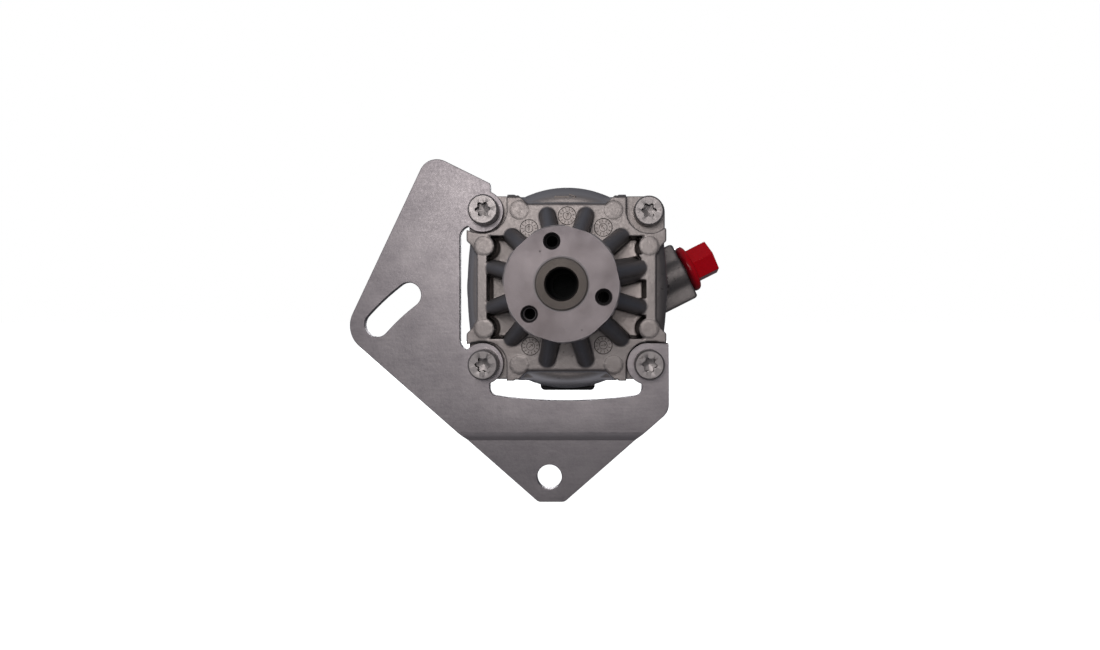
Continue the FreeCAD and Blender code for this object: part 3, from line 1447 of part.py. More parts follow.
outline(slot_sketch, [slot_ends[1], slot_ends[0], slot_ends[2], slot_ends[3]], {
    0: (s.slot_arc - s.slot_width / 2, -1), 2: (s.slot_arc + s.slot_width / 2, 1)})
pocket(blank, slot_sketch, blank_depth)
end_sketch = sketch(blank, "slot_end_outline", depth=s.plate_front - 2)
for turn in (s.slot_start, s.slot_end):
    circle(end_sketch, s.pivot_x + s.slot_arc * cos(turn),
           s.pivot_z + s.slot_arc * sin(turn), s.slot_width / 2)
pocket(blank, end_sketch, blank_depth)
bracket = doc.addObject("Part::MultiCommon", "mounting_bracket")
bracket.Shapes = [band, blank]
pieces.append(bracket)

doc.recompute()
for thing in doc.Objects:
    if "Invalid" in thing.State or "Error" in thing.State:
        sys.exit(f"{thing.Name} failed: {thing.State}")
for piece in pieces:
    if piece.Shape.isNull() or not piece.Shape.isValid():
        sys.exit(f"{piece.Label} has no valid shape")
for piece in pieces:
    piece.Shape.exportStep(f"parts/{piece.Label}.step")
    print(piece.Label, len(piece.Shape.Solids), round(piece.Shape.Volume))
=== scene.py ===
import math

import bpy
from mathutils import Matrix, Vector


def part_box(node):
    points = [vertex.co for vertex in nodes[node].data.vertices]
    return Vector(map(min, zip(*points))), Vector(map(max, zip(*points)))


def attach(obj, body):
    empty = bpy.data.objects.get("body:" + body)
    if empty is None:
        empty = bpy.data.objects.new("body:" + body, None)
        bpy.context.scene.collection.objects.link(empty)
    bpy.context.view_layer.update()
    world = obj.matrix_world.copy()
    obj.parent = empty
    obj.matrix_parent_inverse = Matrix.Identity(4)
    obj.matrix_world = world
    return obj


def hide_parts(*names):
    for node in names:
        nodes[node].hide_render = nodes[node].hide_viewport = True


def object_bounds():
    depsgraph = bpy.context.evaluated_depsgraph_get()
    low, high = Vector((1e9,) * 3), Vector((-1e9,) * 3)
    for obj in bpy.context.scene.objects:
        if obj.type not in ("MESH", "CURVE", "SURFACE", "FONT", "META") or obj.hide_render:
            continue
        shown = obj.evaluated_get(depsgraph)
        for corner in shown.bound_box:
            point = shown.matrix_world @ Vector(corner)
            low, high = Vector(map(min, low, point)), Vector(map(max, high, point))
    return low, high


# A power steering pump on its sheet-steel bracket, in metres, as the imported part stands.
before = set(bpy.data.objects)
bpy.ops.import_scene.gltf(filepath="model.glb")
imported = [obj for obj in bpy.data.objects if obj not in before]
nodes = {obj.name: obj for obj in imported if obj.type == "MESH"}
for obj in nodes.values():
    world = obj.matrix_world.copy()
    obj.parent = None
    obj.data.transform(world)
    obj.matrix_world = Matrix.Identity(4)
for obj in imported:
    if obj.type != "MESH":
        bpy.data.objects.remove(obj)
cad_box = [list(corner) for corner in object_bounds()]


# The room: a pale floor under the pump, white all round, and soft lamps of a studio.
# The camera stands close in front of the flange, a little to the right of the shaft,
# as the photographer did.
def deselect():
    """Nothing is left selected, so an operator only works on the next new piece."""
    for thing in bpy.context.selected_objects:
        thing.select_set(False)


class Wire:
    """One output of a material's node, reckoned with like a number."""

    def __init__(self, tree, socket):
        self.tree = tree
        self.socket = socket

    def reckon(self, operation, *values):
        """The outcome of a math node on wires or numbers."""
        return add_node(self.tree, "ShaderNodeMath", {"operation": operation},
                        dict(enumerate(values)))

    def __add__(self, other):
        return self.reckon("ADD", self, other)

    def __sub__(self, other):
        return self.reckon("SUBTRACT", self, other)

    def __rsub__(self, other):
        return self.reckon("SUBTRACT", other, self)

    def __mul__(self, other):
        return self.reckon("MULTIPLY", self, other)

    def __abs__(self):
        return self.reckon("ABSOLUTE", self)


def add_node(tree, kind, settings=None, sockets=None, output=0):
    """Adds a node, sets it, fills or links its sockets and gives back one output."""
    node = tree.nodes.new(kind)
    for name, value in (settings or {}).items():
        setattr(node, name, value)
    for name, value in (sockets or {}).items():
        if isinstance(value, Wire):
            tree.links.new(value.socket, node.inputs[name])
        else:
            node.inputs[name].default_value = value
    return Wire(tree, node.outputs[output])


ACROSS, BACK, UP = 0, 1, 2


def part(vector, axis):
    """One of a vector's three parts: ACROSS, BACK or UP."""
    return add_node(vector.tree, "ShaderNodeSeparateXYZ", {}, {0: vector}, output=axis)


def new_finish(name):
    """An empty material with its surface shader, and the Object coordinates."""
    material = bpy.data.materials.new(name)
    material.use_nodes = True
    place = add_node(material.node_tree, "ShaderNodeTexCoord", output="Object")
    return material, material.node_tree.nodes["Principled BSDF"], place


def noise(place, scale, detail=3.0, rough=0.55):
    """A cloudy value round 0.5; scale says how many clouds stand in a metre."""
    return add_node(place.tree, "ShaderNodeTexNoise", {"noise_dimensions": "3D"}, {
        "Vector": place, "Scale": scale, "Detail": detail, "Roughness": rough})


def spread(value, low, high, start=0.0, end=1.0):
    """Stretches a value between low and high to start and end, and holds it there."""
    return add_node(value.tree, "ShaderNodeMapRange", {"clamp": True}, {
        "Value": value, "From Min": low, "From Max": high, "To Min": start, "To Max": end})


def blend_colour(share, first, second):
    """Goes from the first colour to the second while the share goes from 0 to 1."""
    sockets = {0: share}
    for socket, colour in ((6, first), (7, second)):
        sockets[socket] = colour if isinstance(colour, Wire) else (*colour, 1)
    return add_node(share.tree, "ShaderNodeMix", {"data_type": "RGBA"}, sockets, output=2)


def feed(surface, name, value):
    """Links a wire to a socket of the surface shader, or sets the socket."""
    if isinstance(value, Wire):
        value.tree.links.new(value.socket, surface.inputs[name])
    else:
        surface.inputs[name].default_value = value


def coat(thing, material):
    """Gives a thing one material, in place of those that it has."""
    thing.data.materials.clear()
    thing.data.materials.append(material)


lowest = cad_box[0][2]
deselect()
bpy.ops.mesh.primitive_grid_add(x_subdivisions=8, y_subdivisions=8, size=6.0,
                                location=(0.0, 0.0, lowest - 0.0004))
floor = bpy.context.object
floor.name = "floor"
bpy.ops.object.transform_apply(location=True)
pale, surface, place = new_finish("pale_floor")
feed(surface, "Base Color", blend_colour(
    noise(place, 3.0), (0.86, 0.86, 0.85), (0.90, 0.90, 0.89)))
feed(surface, "Roughness", 0.9)
feed(surface, "Emission Color", (1.0, 1.0, 1.0, 1))
feed(surface, "Emission Strength", 0.95)
coat(floor, pale)
floor.visible_diffuse = False
floor.visible_glossy = False

world = bpy.data.worlds.new("studio")
bpy.context.scene.world = world
world.use_nodes = True
air = world.node_tree
seen = add_node(air, "ShaderNodeLightPath", output="Is Camera Ray")
way = add_node(air, "ShaderNodeTexCoord", output="Generated")
walls = blend_colour(spread(part(way, ACROSS), -0.8, 0.8),
                     (0.20, 0.205, 0.225), (0.055, 0.058, 0.07))
walls = blend_colour(spread(part(way, UP), 0.3, -0.7), walls, (0.055, 0.056, 0.064))
room_tint = blend_colour(seen, walls, (1.0, 1.0, 1.0))
backdrop = air.nodes["Background"]
air.links.new(room_tint.socket, backdrop.inputs["Color"])
bpy.context.scene.view_settings.view_transform = "Standard"


def lamp(name, place, target, size, power, colour):
    """A square soft lamp at a place, turned to a target."""
    data = bpy.data.lights.new(name, "AREA")
    data.size = size
    data.energy = power
    data.color = colour
    thing = bpy.data.objects.new(name, data)
    bpy.context.scene.collection.objects.link(thing)
    thing.location = place
    thing.rotation_euler = (Vector(target) - Vector(place)).to_track_quat("-Z", "Y").to_euler()


middle = (-0.02, 0.05, -0.01)
lamp("key_lamp", (-0.09, -0.46, 0.17), middle, 0.16, 0.555, (1.0, 0.95, 0.94))
lamp("fill_lamp", (0.02, -0.60, 0.03), middle, 0.30, 0.42, (1.0, 0.96, 0.95))
lamp("flash_lamp", (-0.02, -0.50, 0.075), middle, 0.04, 0.17, (1.0, 0.96, 0.95))
lamp("back_lamp", (-0.1, 1.3, 0.2), middle, 0.6, 7.5, (0.97, 0.98, 1.0))

# The photo's width and middle, its focal length and the point that the camera looks
# straight at, all in pixels, from how near and far outlines shift against each other.
photo_width, photo_middle = 1100, (550, 325)
focal_length, straight_ahead = 640, (595, 306)
eye = bpy.data.cameras.new("camera")
eye.sensor_width = 36.0
eye.lens = eye.sensor_width * focal_length / photo_width
eye.shift_x = (photo_middle[0] - straight_ahead[0]) / photo_width
eye.shift_y = (straight_ahead[1] - photo_middle[1]) / photo_width
eye.clip_start = 0.005
eye.clip_end = 20.0
camera = bpy.data.objects.new("camera", eye)
bpy.context.scene.collection.objects.link(camera)
camera.location = (0.0125, -0.239, -0.0082)
camera.rotation_euler = (math.radians(90), 0.0, 0.0)
bpy.context.scene.camera = camera


# Rear housing and front cover: aluminium die castings, blasted after the flash is broken
# off, so flat faces are a warm light grey with a fine orange-peel skin. The drawn sides are
# smoother, with painted shade on the pockets and ribs and painted light on the skirt.
MM = 0.001
# The cover's face lies this far behind the end of the shaft, in mm; the screws' heads stand
# this far to both sides of the shaft, and above and below it.
FACE = 41.0
SCREW_PLACE = (36.2, 33.76)


def reach(place, axis):
    """How far a point lies from the middle of the shaft's end along an axis, in mm."""
    return part(place, axis) * 1000.0


def depth(place):
    """How far back a point lies, in mm."""
    return reach(place, BACK)


def near(place, centre, fold=False):
    """The distance in mm from a centre, seen along the shaft; folded, from all its mirrors."""
    steps = []
    for axis, value in zip((ACROSS, UP), centre):
        step = reach(place, axis)
        steps.append((abs(step) if fold else step) - value)
    squared = steps[0] * steps[0] + steps[1] * steps[1]
    return squared.reckon("SQRT", squared)


def bumped(surface, height, distance):
    """Turns a height into the surface's relief; distance is its depth in metres."""
    relief = add_node(height.tree, "ShaderNodeBump", {}, {
        "Height": height, "Distance": distance, "Strength": 1.0})
    feed(surface, "Normal", relief)


def cast_finish(name, light, dark):
    """Blasted aluminium: a fine warm grey with stains and specks, and painted shade and light."""
    material, surface, place = new_finish(name)
    wide, back, high = reach(place, ACROSS), reach(place, BACK), reach(place, UP)
    cloud = noise(place, 60.0, 5.0, 0.6)
    grain = noise(place, 900.0, 4.0, 0.65)
    peel = noise(place, 260.0, 3.0, 0.5)
    colour = blend_colour(spread(cloud * 0.65 + grain * 0.35, 0.35, 0.65), dark, light)
    stain = spread(noise(place, 55.0, 4.0, 0.62), 0.54, 0.74)
    colour = blend_colour(stain * 0.34, colour, (0.20, 0.158, 0.138))
    speck = spread(noise(place, 420.0, 2.0, 0.5), 0.66, 0.74)
    colour = blend_colour(speck * 0.5, colour, [channel * 0.45 for channel in dark])

    # Drawn walls turn sideways. Inside the face's rims they belong to pockets and ribs.
    facing = abs(part(add_node(place.tree, "ShaderNodeNewGeometry", output="Normal"), BACK))
    drawn = spread(facing, 0.75, 0.45)
    tilted = spread(facing, 0.92, 0.80)
    inner = spread(abs(wide), 38.6, 38.0) * spread(abs(high), 36.4, 35.8)

    # Painted shade darkens the pockets' floors on the left, and painted light lightens them on
    # the right. Painted shade blackens their walls, on the left only near the face.
    bottom = inner * spread(back, 51.2, 51.8) * spread(back, 56.0, 55.0)
    floor_painted_shade_and_light = blend_colour(spread(wide, -8.0, 8.0), (0.25, 0.228, 0.22), (0.66, 0.59, 0.56))
    colour = blend_colour(bottom * 0.6, colour, floor_painted_shade_and_light)
    wall_end = spread(wide, -10.0, 10.0, 46.3, 52.5)
    pocket_wall_shade = inner * spread(back, FACE + 0.2, FACE + 1.0) * spread(back - wall_end, 1.2, 0.0)
    colour = blend_colour(drawn * pocket_wall_shade, colour, (0.035, 0.028, 0.028))

    # The nose and its ribs carry painted shade, most of all at the left, and a painted highlight
    # lies on the crests of the ribs, which run out at three angles in each quarter.
    rib = inner * spread(back, FACE + 0.4, FACE) * spread(back, 16.0, 17.0)
    rib_painted_shade = (spread(wide, -20.0, 30.0, 0.54, 0.26)
                - spread(high, -5.0, 8.0, 0.0, 0.17) * spread(wide, -5.0, 5.0))
    colour = blend_colour(tilted * rib * rib_painted_shade, colour, (0.085, 0.09, 0.102))
    crest_painted_highlight = 0.0
    for turn in (15, 43, 75):
        beside = (abs(wide) * math.sin(math.radians(turn))
                  - abs(high) * math.cos(math.radians(turn)))
        crest_painted_highlight = spread(abs(beside), 2.8, 0.3) + crest_painted_highlight
    colour = blend_colour(tilted * rib * crest_painted_highlight * 0.6, colour, (0.36, 0.375, 0.42))

    # The skirt's wall is smoother, with painted light low down and painted shade below it.
    skirt = ((1.0 - inner) * spread(facing, 0.97, 0.85) * spread(wide, 34.0, 24.0)
             * spread(back, 42.0, 43.0) * spread(back, 62.6, 61.8))
    skirt_painted_light_and_shade = blend_colour(spread(high, -36.5, -38.5), (0.35, 0.35, 0.372), (0.72, 0.72, 0.76))
    skirt_painted_light_and_shade = blend_colour(spread(high, -41.0, -43.0), skirt_painted_light_and_shade, (0.32, 0.32, 0.335))
    colour = blend_colour(skirt, colour, skirt_painted_light_and_shade)
    # A painted shadow blackens the foot.
    shadow = spread(high, -44.2, -44.8) * spread(back, 53.2, 53.8)
    colour = blend_colour(shadow, colour, (0.02, 0.02, 0.021))

    # Painted shade blackens the nose's end, which only shows through the flange's holes.
    nose_end_shade = spread(back, 17.0, 15.0)
    feed(surface, "Base Color", blend_colour(nose_end_shade, colour, (0.004, 0.004, 0.004)))
    feed(surface, "Metallic", (1.0 - nose_end_shade) * spread(skirt, 0.0, 1.0, 0.80, 0.35))
    feed(surface, "Specular IOR Level", 0.15)
    feed(surface, "Roughness", spread(grain, 0.3, 0.7, 0.42, 0.56) + nose_end_shade * 0.4)
    bumped(surface, grain * 0.6 + peel, 0.00012)
    return material


def picked(thing):
    """Makes a thing the only one selected, and active."""
    deselect()
    thing.select_set(True)
    bpy.context.view_layer.objects.active = thing


def on_mesh(thing, *steps):
    """Runs mesh operators, each with its settings, on the whole of a thing's mesh."""
    picked(thing)
    bpy.ops.object.mode_set(mode="EDIT")
    bpy.ops.mesh.select_all(action="SELECT")
    for step, settings in steps:
        step(**settings)
    bpy.ops.object.mode_set(mode="OBJECT")


def take_copy(node, name):
    """A copy of a CAD node's mesh under a new name, its loose triangles joined up."""
    thing = bpy.data.objects.new(name, nodes[node].data.copy())
    bpy.context.scene.collection.objects.link(thing)
    on_mesh(thing, (bpy.ops.mesh.remove_doubles, {"threshold": 0.000002}))
    return thing


def modified(thing, kind, **settings):
    """Adds a modifier, sets it and applies it."""
    picked(thing)
    step = thing.modifiers.new(kind.lower(), kind)
    for name, value in settings.items():
        setattr(step, name, value)
    bpy.ops.object.modifier_apply(modifier=step.name)


def block(size, place, turn=0.0, edge=0.0):
    """A block in mm, its edges rounded, turned about its own middle and set to its place."""
    deselect()
    bpy.ops.mesh.primitive_cube_add(size=1.0)
    thing = bpy.context.object
    thing.scale = [value * MM for value in size]
    bpy.ops.object.transform_apply(scale=True)
    if edge:
        modified(thing, "BEVEL", width=edge * MM, segments=3)
    thing.rotation_euler = (0.0, math.radians(turn), 0.0)
    thing.location = [value * MM for value in place]
    bpy.ops.object.transform_apply(location=True, rotation=True)
    return thing


def land(low, high, edge=0.0, turn=0.0):
    """A block between two corners in mm."""
    return block([b - a for a, b in zip(low, high)], [(a + b) / 2 for a, b in zip(low, high)],
                 turn, edge)


def cast_skin(thing, extras, grid, passes, share=1.0):
    """Wraps a casting and its extra lands in one skin, softens it and thins it to a share."""
    picked(thing)
    for extra in extras:
        extra.select_set(True)
    bpy.ops.object.join()
    thing.data.remesh_voxel_size = grid * MM
    thing.data.remesh_voxel_adaptivity = 0.0
    bpy.ops.object.voxel_remesh()
    modified(thing, "SMOOTH", factor=0.5, iterations=passes)
    if share < 1.0:
        modified(thing, "DECIMATE", ratio=share)
    bpy.ops.object.shade_smooth()


casting = cast_finish("blasted_casting", (0.405, 0.37, 0.357), (0.31, 0.286, 0.276))
housing_finish = cast_finish("housing_casting", (0.32, 0.295, 0.286), (0.24, 0.222, 0.216))

housing = take_copy("rear_housing", "housing_casting")
cast_skin(housing, [], 0.85, 10)
coat(housing, housing_finish)
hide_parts("rear_housing")
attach(housing, "root")

# The cover's back plate joins its ears above and below, and short ramps run from the ears
# down to the face's edges; the skirt's dome stands between them.
ramps = []
for across in (-1, 1):
    for up in (-1, 1):
        for x, z, half_wide, half_high, turn in ((20.5, 37.7, 2.9, 1.6, -42.3),
                                                 (39.95, 17.83, 2.7, 1.2, -52.7)):
            x, z = across * x, up * z
            ramps.append(land((x - half_wide, FACE + 0.1, z - half_high),
                              (x + half_wide, 50.0, z + half_high), 0.0, turn * across * up))
back_plates = [
    land((-24.0, 44.6, 33.0), (24.0, 61.9, 40.5), 2.5),
    land((-24.0, 44.6, -41.4), (24.0, 61.9, -33.0), 2.5),
]
cover = take_copy("front_cover", "cover_casting")


def round_tool(x, z, radius):
    """A round bar along the shaft's direction, to cut with, in mm."""
    front, back = 40.0, 60.0
    deselect()
    bpy.ops.mesh.primitive_cylinder_add(vertices=96, radius=radius * MM, depth=(back - front) * MM,
                                        location=(x * MM, (front + back) / 2 * MM, z * MM),
                                        rotation=(math.radians(90), 0.0, 0.0))
    tool = bpy.context.object
    bpy.ops.object.transform_apply(location=True, rotation=True)
    return tool


def cut_by(thing, *tools):
    """Cuts the tools' shapes out of a thing and throws the tools away."""
    for tool in tools:
        modified(thing, "BOOLEAN", operation="DIFFERENCE", solver="EXACT", object=tool)
        bpy.data.objects.remove(tool)


# The upper ears' front edges are drawn back at a slant.
for across in (-1, 1):
    for thing in (cover, ramps[4 + 2 * across]):
        slant = block((17.0, 8.0, 3.2), (0.0, 0.0, 0.0))
        slant.data.transform(Matrix.Translation((across * 23.0 * MM, 41.12 * MM, 41.41 * MM))
                             @ Matrix.Rotation(math.radians(37.7), 4, "X"))
        cut_by(thing, slant)
# The screws' recesses are round, so the ears stay full in the corners beyond them.
corners = []
for across, up, radius in ((-1, 1, 18.9), (1, 1, 11.0), (-1, -1, 18.9), (1, -1, 30.0)):
    low = 23.0 if up > 0 else -25.9
    corner = land((across * 40.0 - 3.8, FACE + 0.02, low),
                  (across * 40.0 + 3.8, 47.9, low + 2.9), 0.3)
    cut_by(corner, round_tool(across * SCREW_PLACE[0], up * (23.6 + radius), radius))
    corners.append(corner)
# The face's rims are crisp at the sides, and the duct and ribs end round against them.
rims = [land((across * 37.6 - 1.65, FACE, -17.5), (across * 37.6 + 1.65, 46.0, 17.5), 0.2)
        for across in (-1, 1)]
duct_end = land((27.5, FACE + 0.1, 3.2), (36.0, 53.0, 14.4), 0.0)
cut_by(duct_end, round_tool(24.75, 8.43, 8.97))
low_end = land((30.5, FACE + 0.1, -12.2), (36.0, 53.0, -4.8), 0.0)
cut_by(low_end, round_tool(27.6, -8.6, 6.4))
cast_skin(cover, ramps + back_plates + corners + rims + [duct_end, low_end], 0.5, 3, 0.45)
coat(cover, casting)
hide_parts("front_cover")
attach(cover, "root")


# Marks that the die leaves on the cover's face: five date wheels with a pointer, the thin
# rings where the ejector pins pressed, and an arrow for the way the shaft turns.
def ring(radius, thickness, place, steps=40):
    """A thin wire ring in mm, facing the camera's side."""
    deselect()
    bpy.ops.mesh.primitive_torus_add(
        major_segments=steps, minor_segments=8, major_radius=radius * MM,
        minor_radius=thickness * MM, rotation=(math.radians(90), 0.0, 0.0))
    thing = bpy.context.object
    bpy.ops.object.transform_apply(rotation=True)
    thing.location = [value * MM for value in place]
    bpy.ops.object.transform_apply(location=True)
    return thing


def joined(parts, name):
    """Joins parts into one mesh and names it."""
    picked(parts[0])
    for part in parts[1:]:
        part.select_set(True)
    bpy.ops.object.join()
    thing = bpy.context.object
    thing.name = name
    return thing


def shifted_copy(thing, name, place):
    """A copy with its own mesh, moved by a place in mm."""
    copy = bpy.data.objects.new(name, thing.data.copy())
    bpy.context.scene.collection.objects.link(copy)
    copy.data.transform(Matrix.Translation([value * MM for value in place]))
    return copy


# The marks' darker grey is painted shade along their fine lines and edges.
marks_painted_shade_finish = cast_finish("marks_painted_shade", (0.20, 0.18, 0.17), (0.14, 0.125, 0.118))
wheel_parts = [ring(3.9, 0.19, (0.0, 0.0, 0.0), 48), ring(1.75, 0.13, (0.0, 0.0, 0.0), 28)]
for step in range(12):
    turn = math.radians(30 * step)
    wheel_parts.append(block((1.0, 0.3, 0.4), (2.95 * math.cos(turn), 0.0, 2.95 * math.sin(turn)),
                             -30 * step))
wheel_parts.append(block((0.36, 0.3, 2.2), (0.0, 0.0, 0.0)))
for side in (-1, 1):
    wheel_parts.append(block((0.32, 0.3, 1.0), (0.34 * side, 0.0, 0.85), -40 * side))
wheel = joined(wheel_parts, "date_wheel")
wheel_places = ((-16.4, 25.7, 0), (0.3, 31.3, 20), (16.1, 26.2, -35), (-15.7, -25.8, 50),
                (16.1, -25.3, 80))
marks = []
for x, z, turn in wheel_places:
    copy = shifted_copy(wheel, "wheel_copy", (0.0, 0.0, 0.0))
    copy.data.transform(Matrix.Rotation(math.radians(turn), 4, "Y"))
    copy.data.transform(Matrix.Translation((x * MM, (FACE + 0.02) * MM, z * MM)))
    marks.append(copy)
bpy.data.objects.remove(wheel)
for across in (-1, 1):
    for up in (-1, 1):
        marks.append(ring(4.1, 0.07, (across * 20.6, FACE - 0.01, up * 33.86), 56))
        marks.append(ring(4.1, 0.07, (across * 36.3, FACE - 0.01, up * 18.16), 56))
face_marks = joined(marks, "face_marks")

arrow_back, arrow_high = 43.72, 39.95
arrow_parts = [block((6.4, 0.9, 0.75), (-2.2, arrow_back, arrow_high))]
for side in (-1, 1):
    arrow_parts.append(block((3.4, 0.9, 0.5), (2.6, arrow_back, arrow_high + 0.62 * side),
                             22 * side))
turn_arrow = joined(arrow_parts, "turn_arrow")
for piece in (face_marks, turn_arrow):
    picked(piece)
    bpy.ops.object.shade_smooth_by_angle(angle=math.radians(40))
    coat(piece, marks_painted_shade_finish)
    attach(piece, "root")


# Inside the housing: ground steel plates, rotor and vanes, a bronze bush, black rings
# and phosphated spring parts. Only some edges can be seen through the openings.
def dress(material, *names):
    """Gives CAD nodes a material."""
    for name in names:
        coat(nodes[name], material)


def turned_finish(name, light, dark, rough, metal=1.0):
    """Turned or ground metal: rings of tool marks round the shaft, and a faint cloud."""
    material, surface, place = new_finish(name)
    marks = add_node(place.tree, "ShaderNodeTexWave", {
        "wave_type": "RINGS", "rings_direction": "Y"}, {
        "Vector": place, "Scale": 900.0, "Distortion": 1.5, "Detail": 2.0,
        "Detail Scale": 3.0})
    cloud = noise(place, 90.0, 4.0, 0.6)
    feed(surface, "Base Color", blend_colour(
        spread(cloud * 0.8 + marks * 0.2, 0.3, 0.7), dark, light))
    feed(surface, "Metallic", metal)
    feed(surface, "Roughness", spread(cloud, 0.3, 0.7, rough - 0.06, rough + 0.08))
    bumped(surface, marks * 0.5 + cloud, 0.00002)
    return material


def opened(material):
    """A finished material's surface shader, its coordinates and the wires that feed it."""
    tree = material.node_tree
    surface = tree.nodes["Principled BSDF"]
    place = Wire(tree, tree.nodes["Texture Coordinate"].outputs["Object"])
    fed = {socket.name: Wire(tree, socket.links[0].from_socket)
           for socket in surface.inputs if socket.is_linked}
    return surface, place, fed


def darkened(material, mask, black=(0.004, 0.004, 0.004)):
    """Blackens and dulls a material where a mask, made from its coordinates, is 1."""
    surface, place, fed = opened(material)
    share = mask(place)
    metal = surface.inputs["Metallic"].default_value
    feed(surface, "Base Color", blend_colour(share, fed["Base Color"], black))
    feed(surface, "Metallic", spread(share, 0.0, 1.0, metal, 0.0))
    feed(surface, "Roughness", fed["Roughness"] + share * 0.4)
    feed(surface, "Specular IOR Level", 0.2)


def outer_end(place):
    """The front of the bearing and its circlip, blackened with painted shade."""
    return spread(depth(place), 27.0, 24.0)


ground = turned_finish("ground_steel", (0.56, 0.56, 0.57), (0.44, 0.44, 0.45), 0.3)
dress(ground, "front_plate", "cam_ring", "rear_plate", "rotor", "vane_set", "outlet_union",
      "locating_pin_1", "locating_pin_2", "valve_spool")
bearing_steel = turned_finish("bearing_steel", (0.70, 0.70, 0.70), (0.60, 0.60, 0.61), 0.16)
darkened(bearing_steel, outer_end)
dress(bearing_steel, "bearing_outer_ring", "bearing_inner_ring", "bearing_balls")
brass = turned_finish("cage_brass", (0.66, 0.50, 0.24), (0.50, 0.37, 0.17), 0.3)
dress(brass, "bearing_cage")
bronze = turned_finish("bush_bronze", (0.55, 0.38, 0.20), (0.42, 0.28, 0.14), 0.38)
dress(bronze, "rear_bush")
phosphated = turned_finish("phosphated_spring", (0.17, 0.17, 0.18), (0.09, 0.09, 0.10), 0.5)
darkened(phosphated, outer_end)
dress(phosphated, "bearing_circlip", "rotor_circlip", "plate_spring", "valve_spring")
plated = turned_finish("plated_tube", (0.60, 0.58, 0.54), (0.46, 0.44, 0.41), 0.3)
dress(plated, "suction_stub")

rubber, surface, place = new_finish("nitrile_rubber")
bloom = noise(place, 250.0, 4.0, 0.6)
feed(surface, "Base Color", blend_colour(bloom, (0.012, 0.012, 0.012), (0.03, 0.03, 0.032)))
feed(surface, "Roughness", spread(bloom, 0.3, 0.7, 0.5, 0.7))
bumped(surface, bloom, 0.00003)
dress(rubber, "shaft_seal", "cover_seal_ring", "union_seal_ring")


# Pulley flange and shaft: turned steel. The flange has a dull lilac-grey face, the shaft's
# end is browner and darker.
# The shaft's middle, the bolt circle, where the flange's broken edges begin and end, and
# three knocks with their size, all in mm as seen from the front.
AXIS = (0.0, 0.0)
bolt_circle, bolt_turns = 16.5, (102.8, 222.8, 342.8)
bolt_holes = [(bolt_circle * math.cos(math.radians(turn)),
               bolt_circle * math.sin(math.radians(turn))) for turn in bolt_turns]
rim_edge, bore_edge = (21.35, 21.6), (10.7, 10.5)
knocks = (((-19.9, 8.7), 0.55), ((-8.1, 12.2), 0.45), ((7.6, -17.2), 0.4))


def worn(material, mask, tone):
    """Wears a darkened metal to a dull tone where a mask, made from its coordinates, is 1."""
    surface, place, fed = opened(material)
    share = mask(place)
    feed(surface, "Base Color", blend_colour(share, fed["Base Color"], tone))
    feed(surface, "Metallic", fed["Metallic"] * (1.0 - share))


def hole_shade_and_knocks(place):
    """Painted shade in the bolt holes, darker deeper in, and three small knocks on the face."""
    share = 0.0
    for hole in bolt_holes:
        inside = spread(near(place, hole), 3.35, 3.15)
        share = inside * spread(depth(place), 0.2, 1.4, 0.62, 1.0) + share
    for spot, size in knocks:
        share = spread(near(place, spot), size, size * 0.3) * 0.45 + share
    return spread(share, 0.0, 1.0)


def cone_tool(place, wide, narrow, length):
    """A cone in mm that narrows backwards, to cut with, its middle at a place in metres."""
    deselect()
    bpy.ops.mesh.primitive_cone_add(vertices=64, radius1=wide * MM, radius2=narrow * MM,
                                    depth=length * MM, location=place,
                                    rotation=(math.radians(-90), 0.0, 0.0))
    return bpy.context.object


def rim_and_bore(place):
    """The broken edges of the flange's rim and bore."""
    from_axis = near(place, AXIS)
    return ((spread(from_axis, *rim_edge) + spread(from_axis, *bore_edge))
            * spread(depth(place), 1.0, 0.8))


flange_finish = turned_finish("flange_steel", (0.243, 0.219, 0.224), (0.196, 0.177, 0.182),
                              0.46, 0.9)
# Brown stains lie on the face, and painted shade darkens it towards its top.
surface, place, fed = opened(flange_finish)
stain = spread(noise(place, 48.0, 5.0, 0.65), 0.48, 0.66)
stained = blend_colour(stain * 0.3, fed["Base Color"], (0.155, 0.128, 0.125))
feed(surface, "Base Color", blend_colour(
    spread(reach(place, UP), 10.0, 19.0) * 0.5, stained, (0.12, 0.108, 0.115)))
darkened(flange_finish, hole_shade_and_knocks)
# The broken edges are dull and lighter: partly wear, partly a painted highlight.
worn(flange_finish, rim_and_bore, (0.34, 0.315, 0.32))
flange = take_copy("drive_flange", "pulley_flange")
for x, z in bolt_holes:
    cut_by(flange, cone_tool((x * MM, 0.8 * MM, z * MM), 3.35, 2.3, 1.8))
picked(flange)
bpy.ops.object.shade_smooth_by_angle(angle=math.radians(35))
for facet in flange.data.polygons:
    if abs(facet.normal.y) > 0.999:
        facet.use_smooth = False
coat(flange, flange_finish)
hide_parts("drive_flange")
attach(flange, "shaft")

thread_finish = turned_finish("thread_painted_shade", (0.26, 0.24, 0.24), (0.18, 0.17, 0.17), 0.35, 0.7)
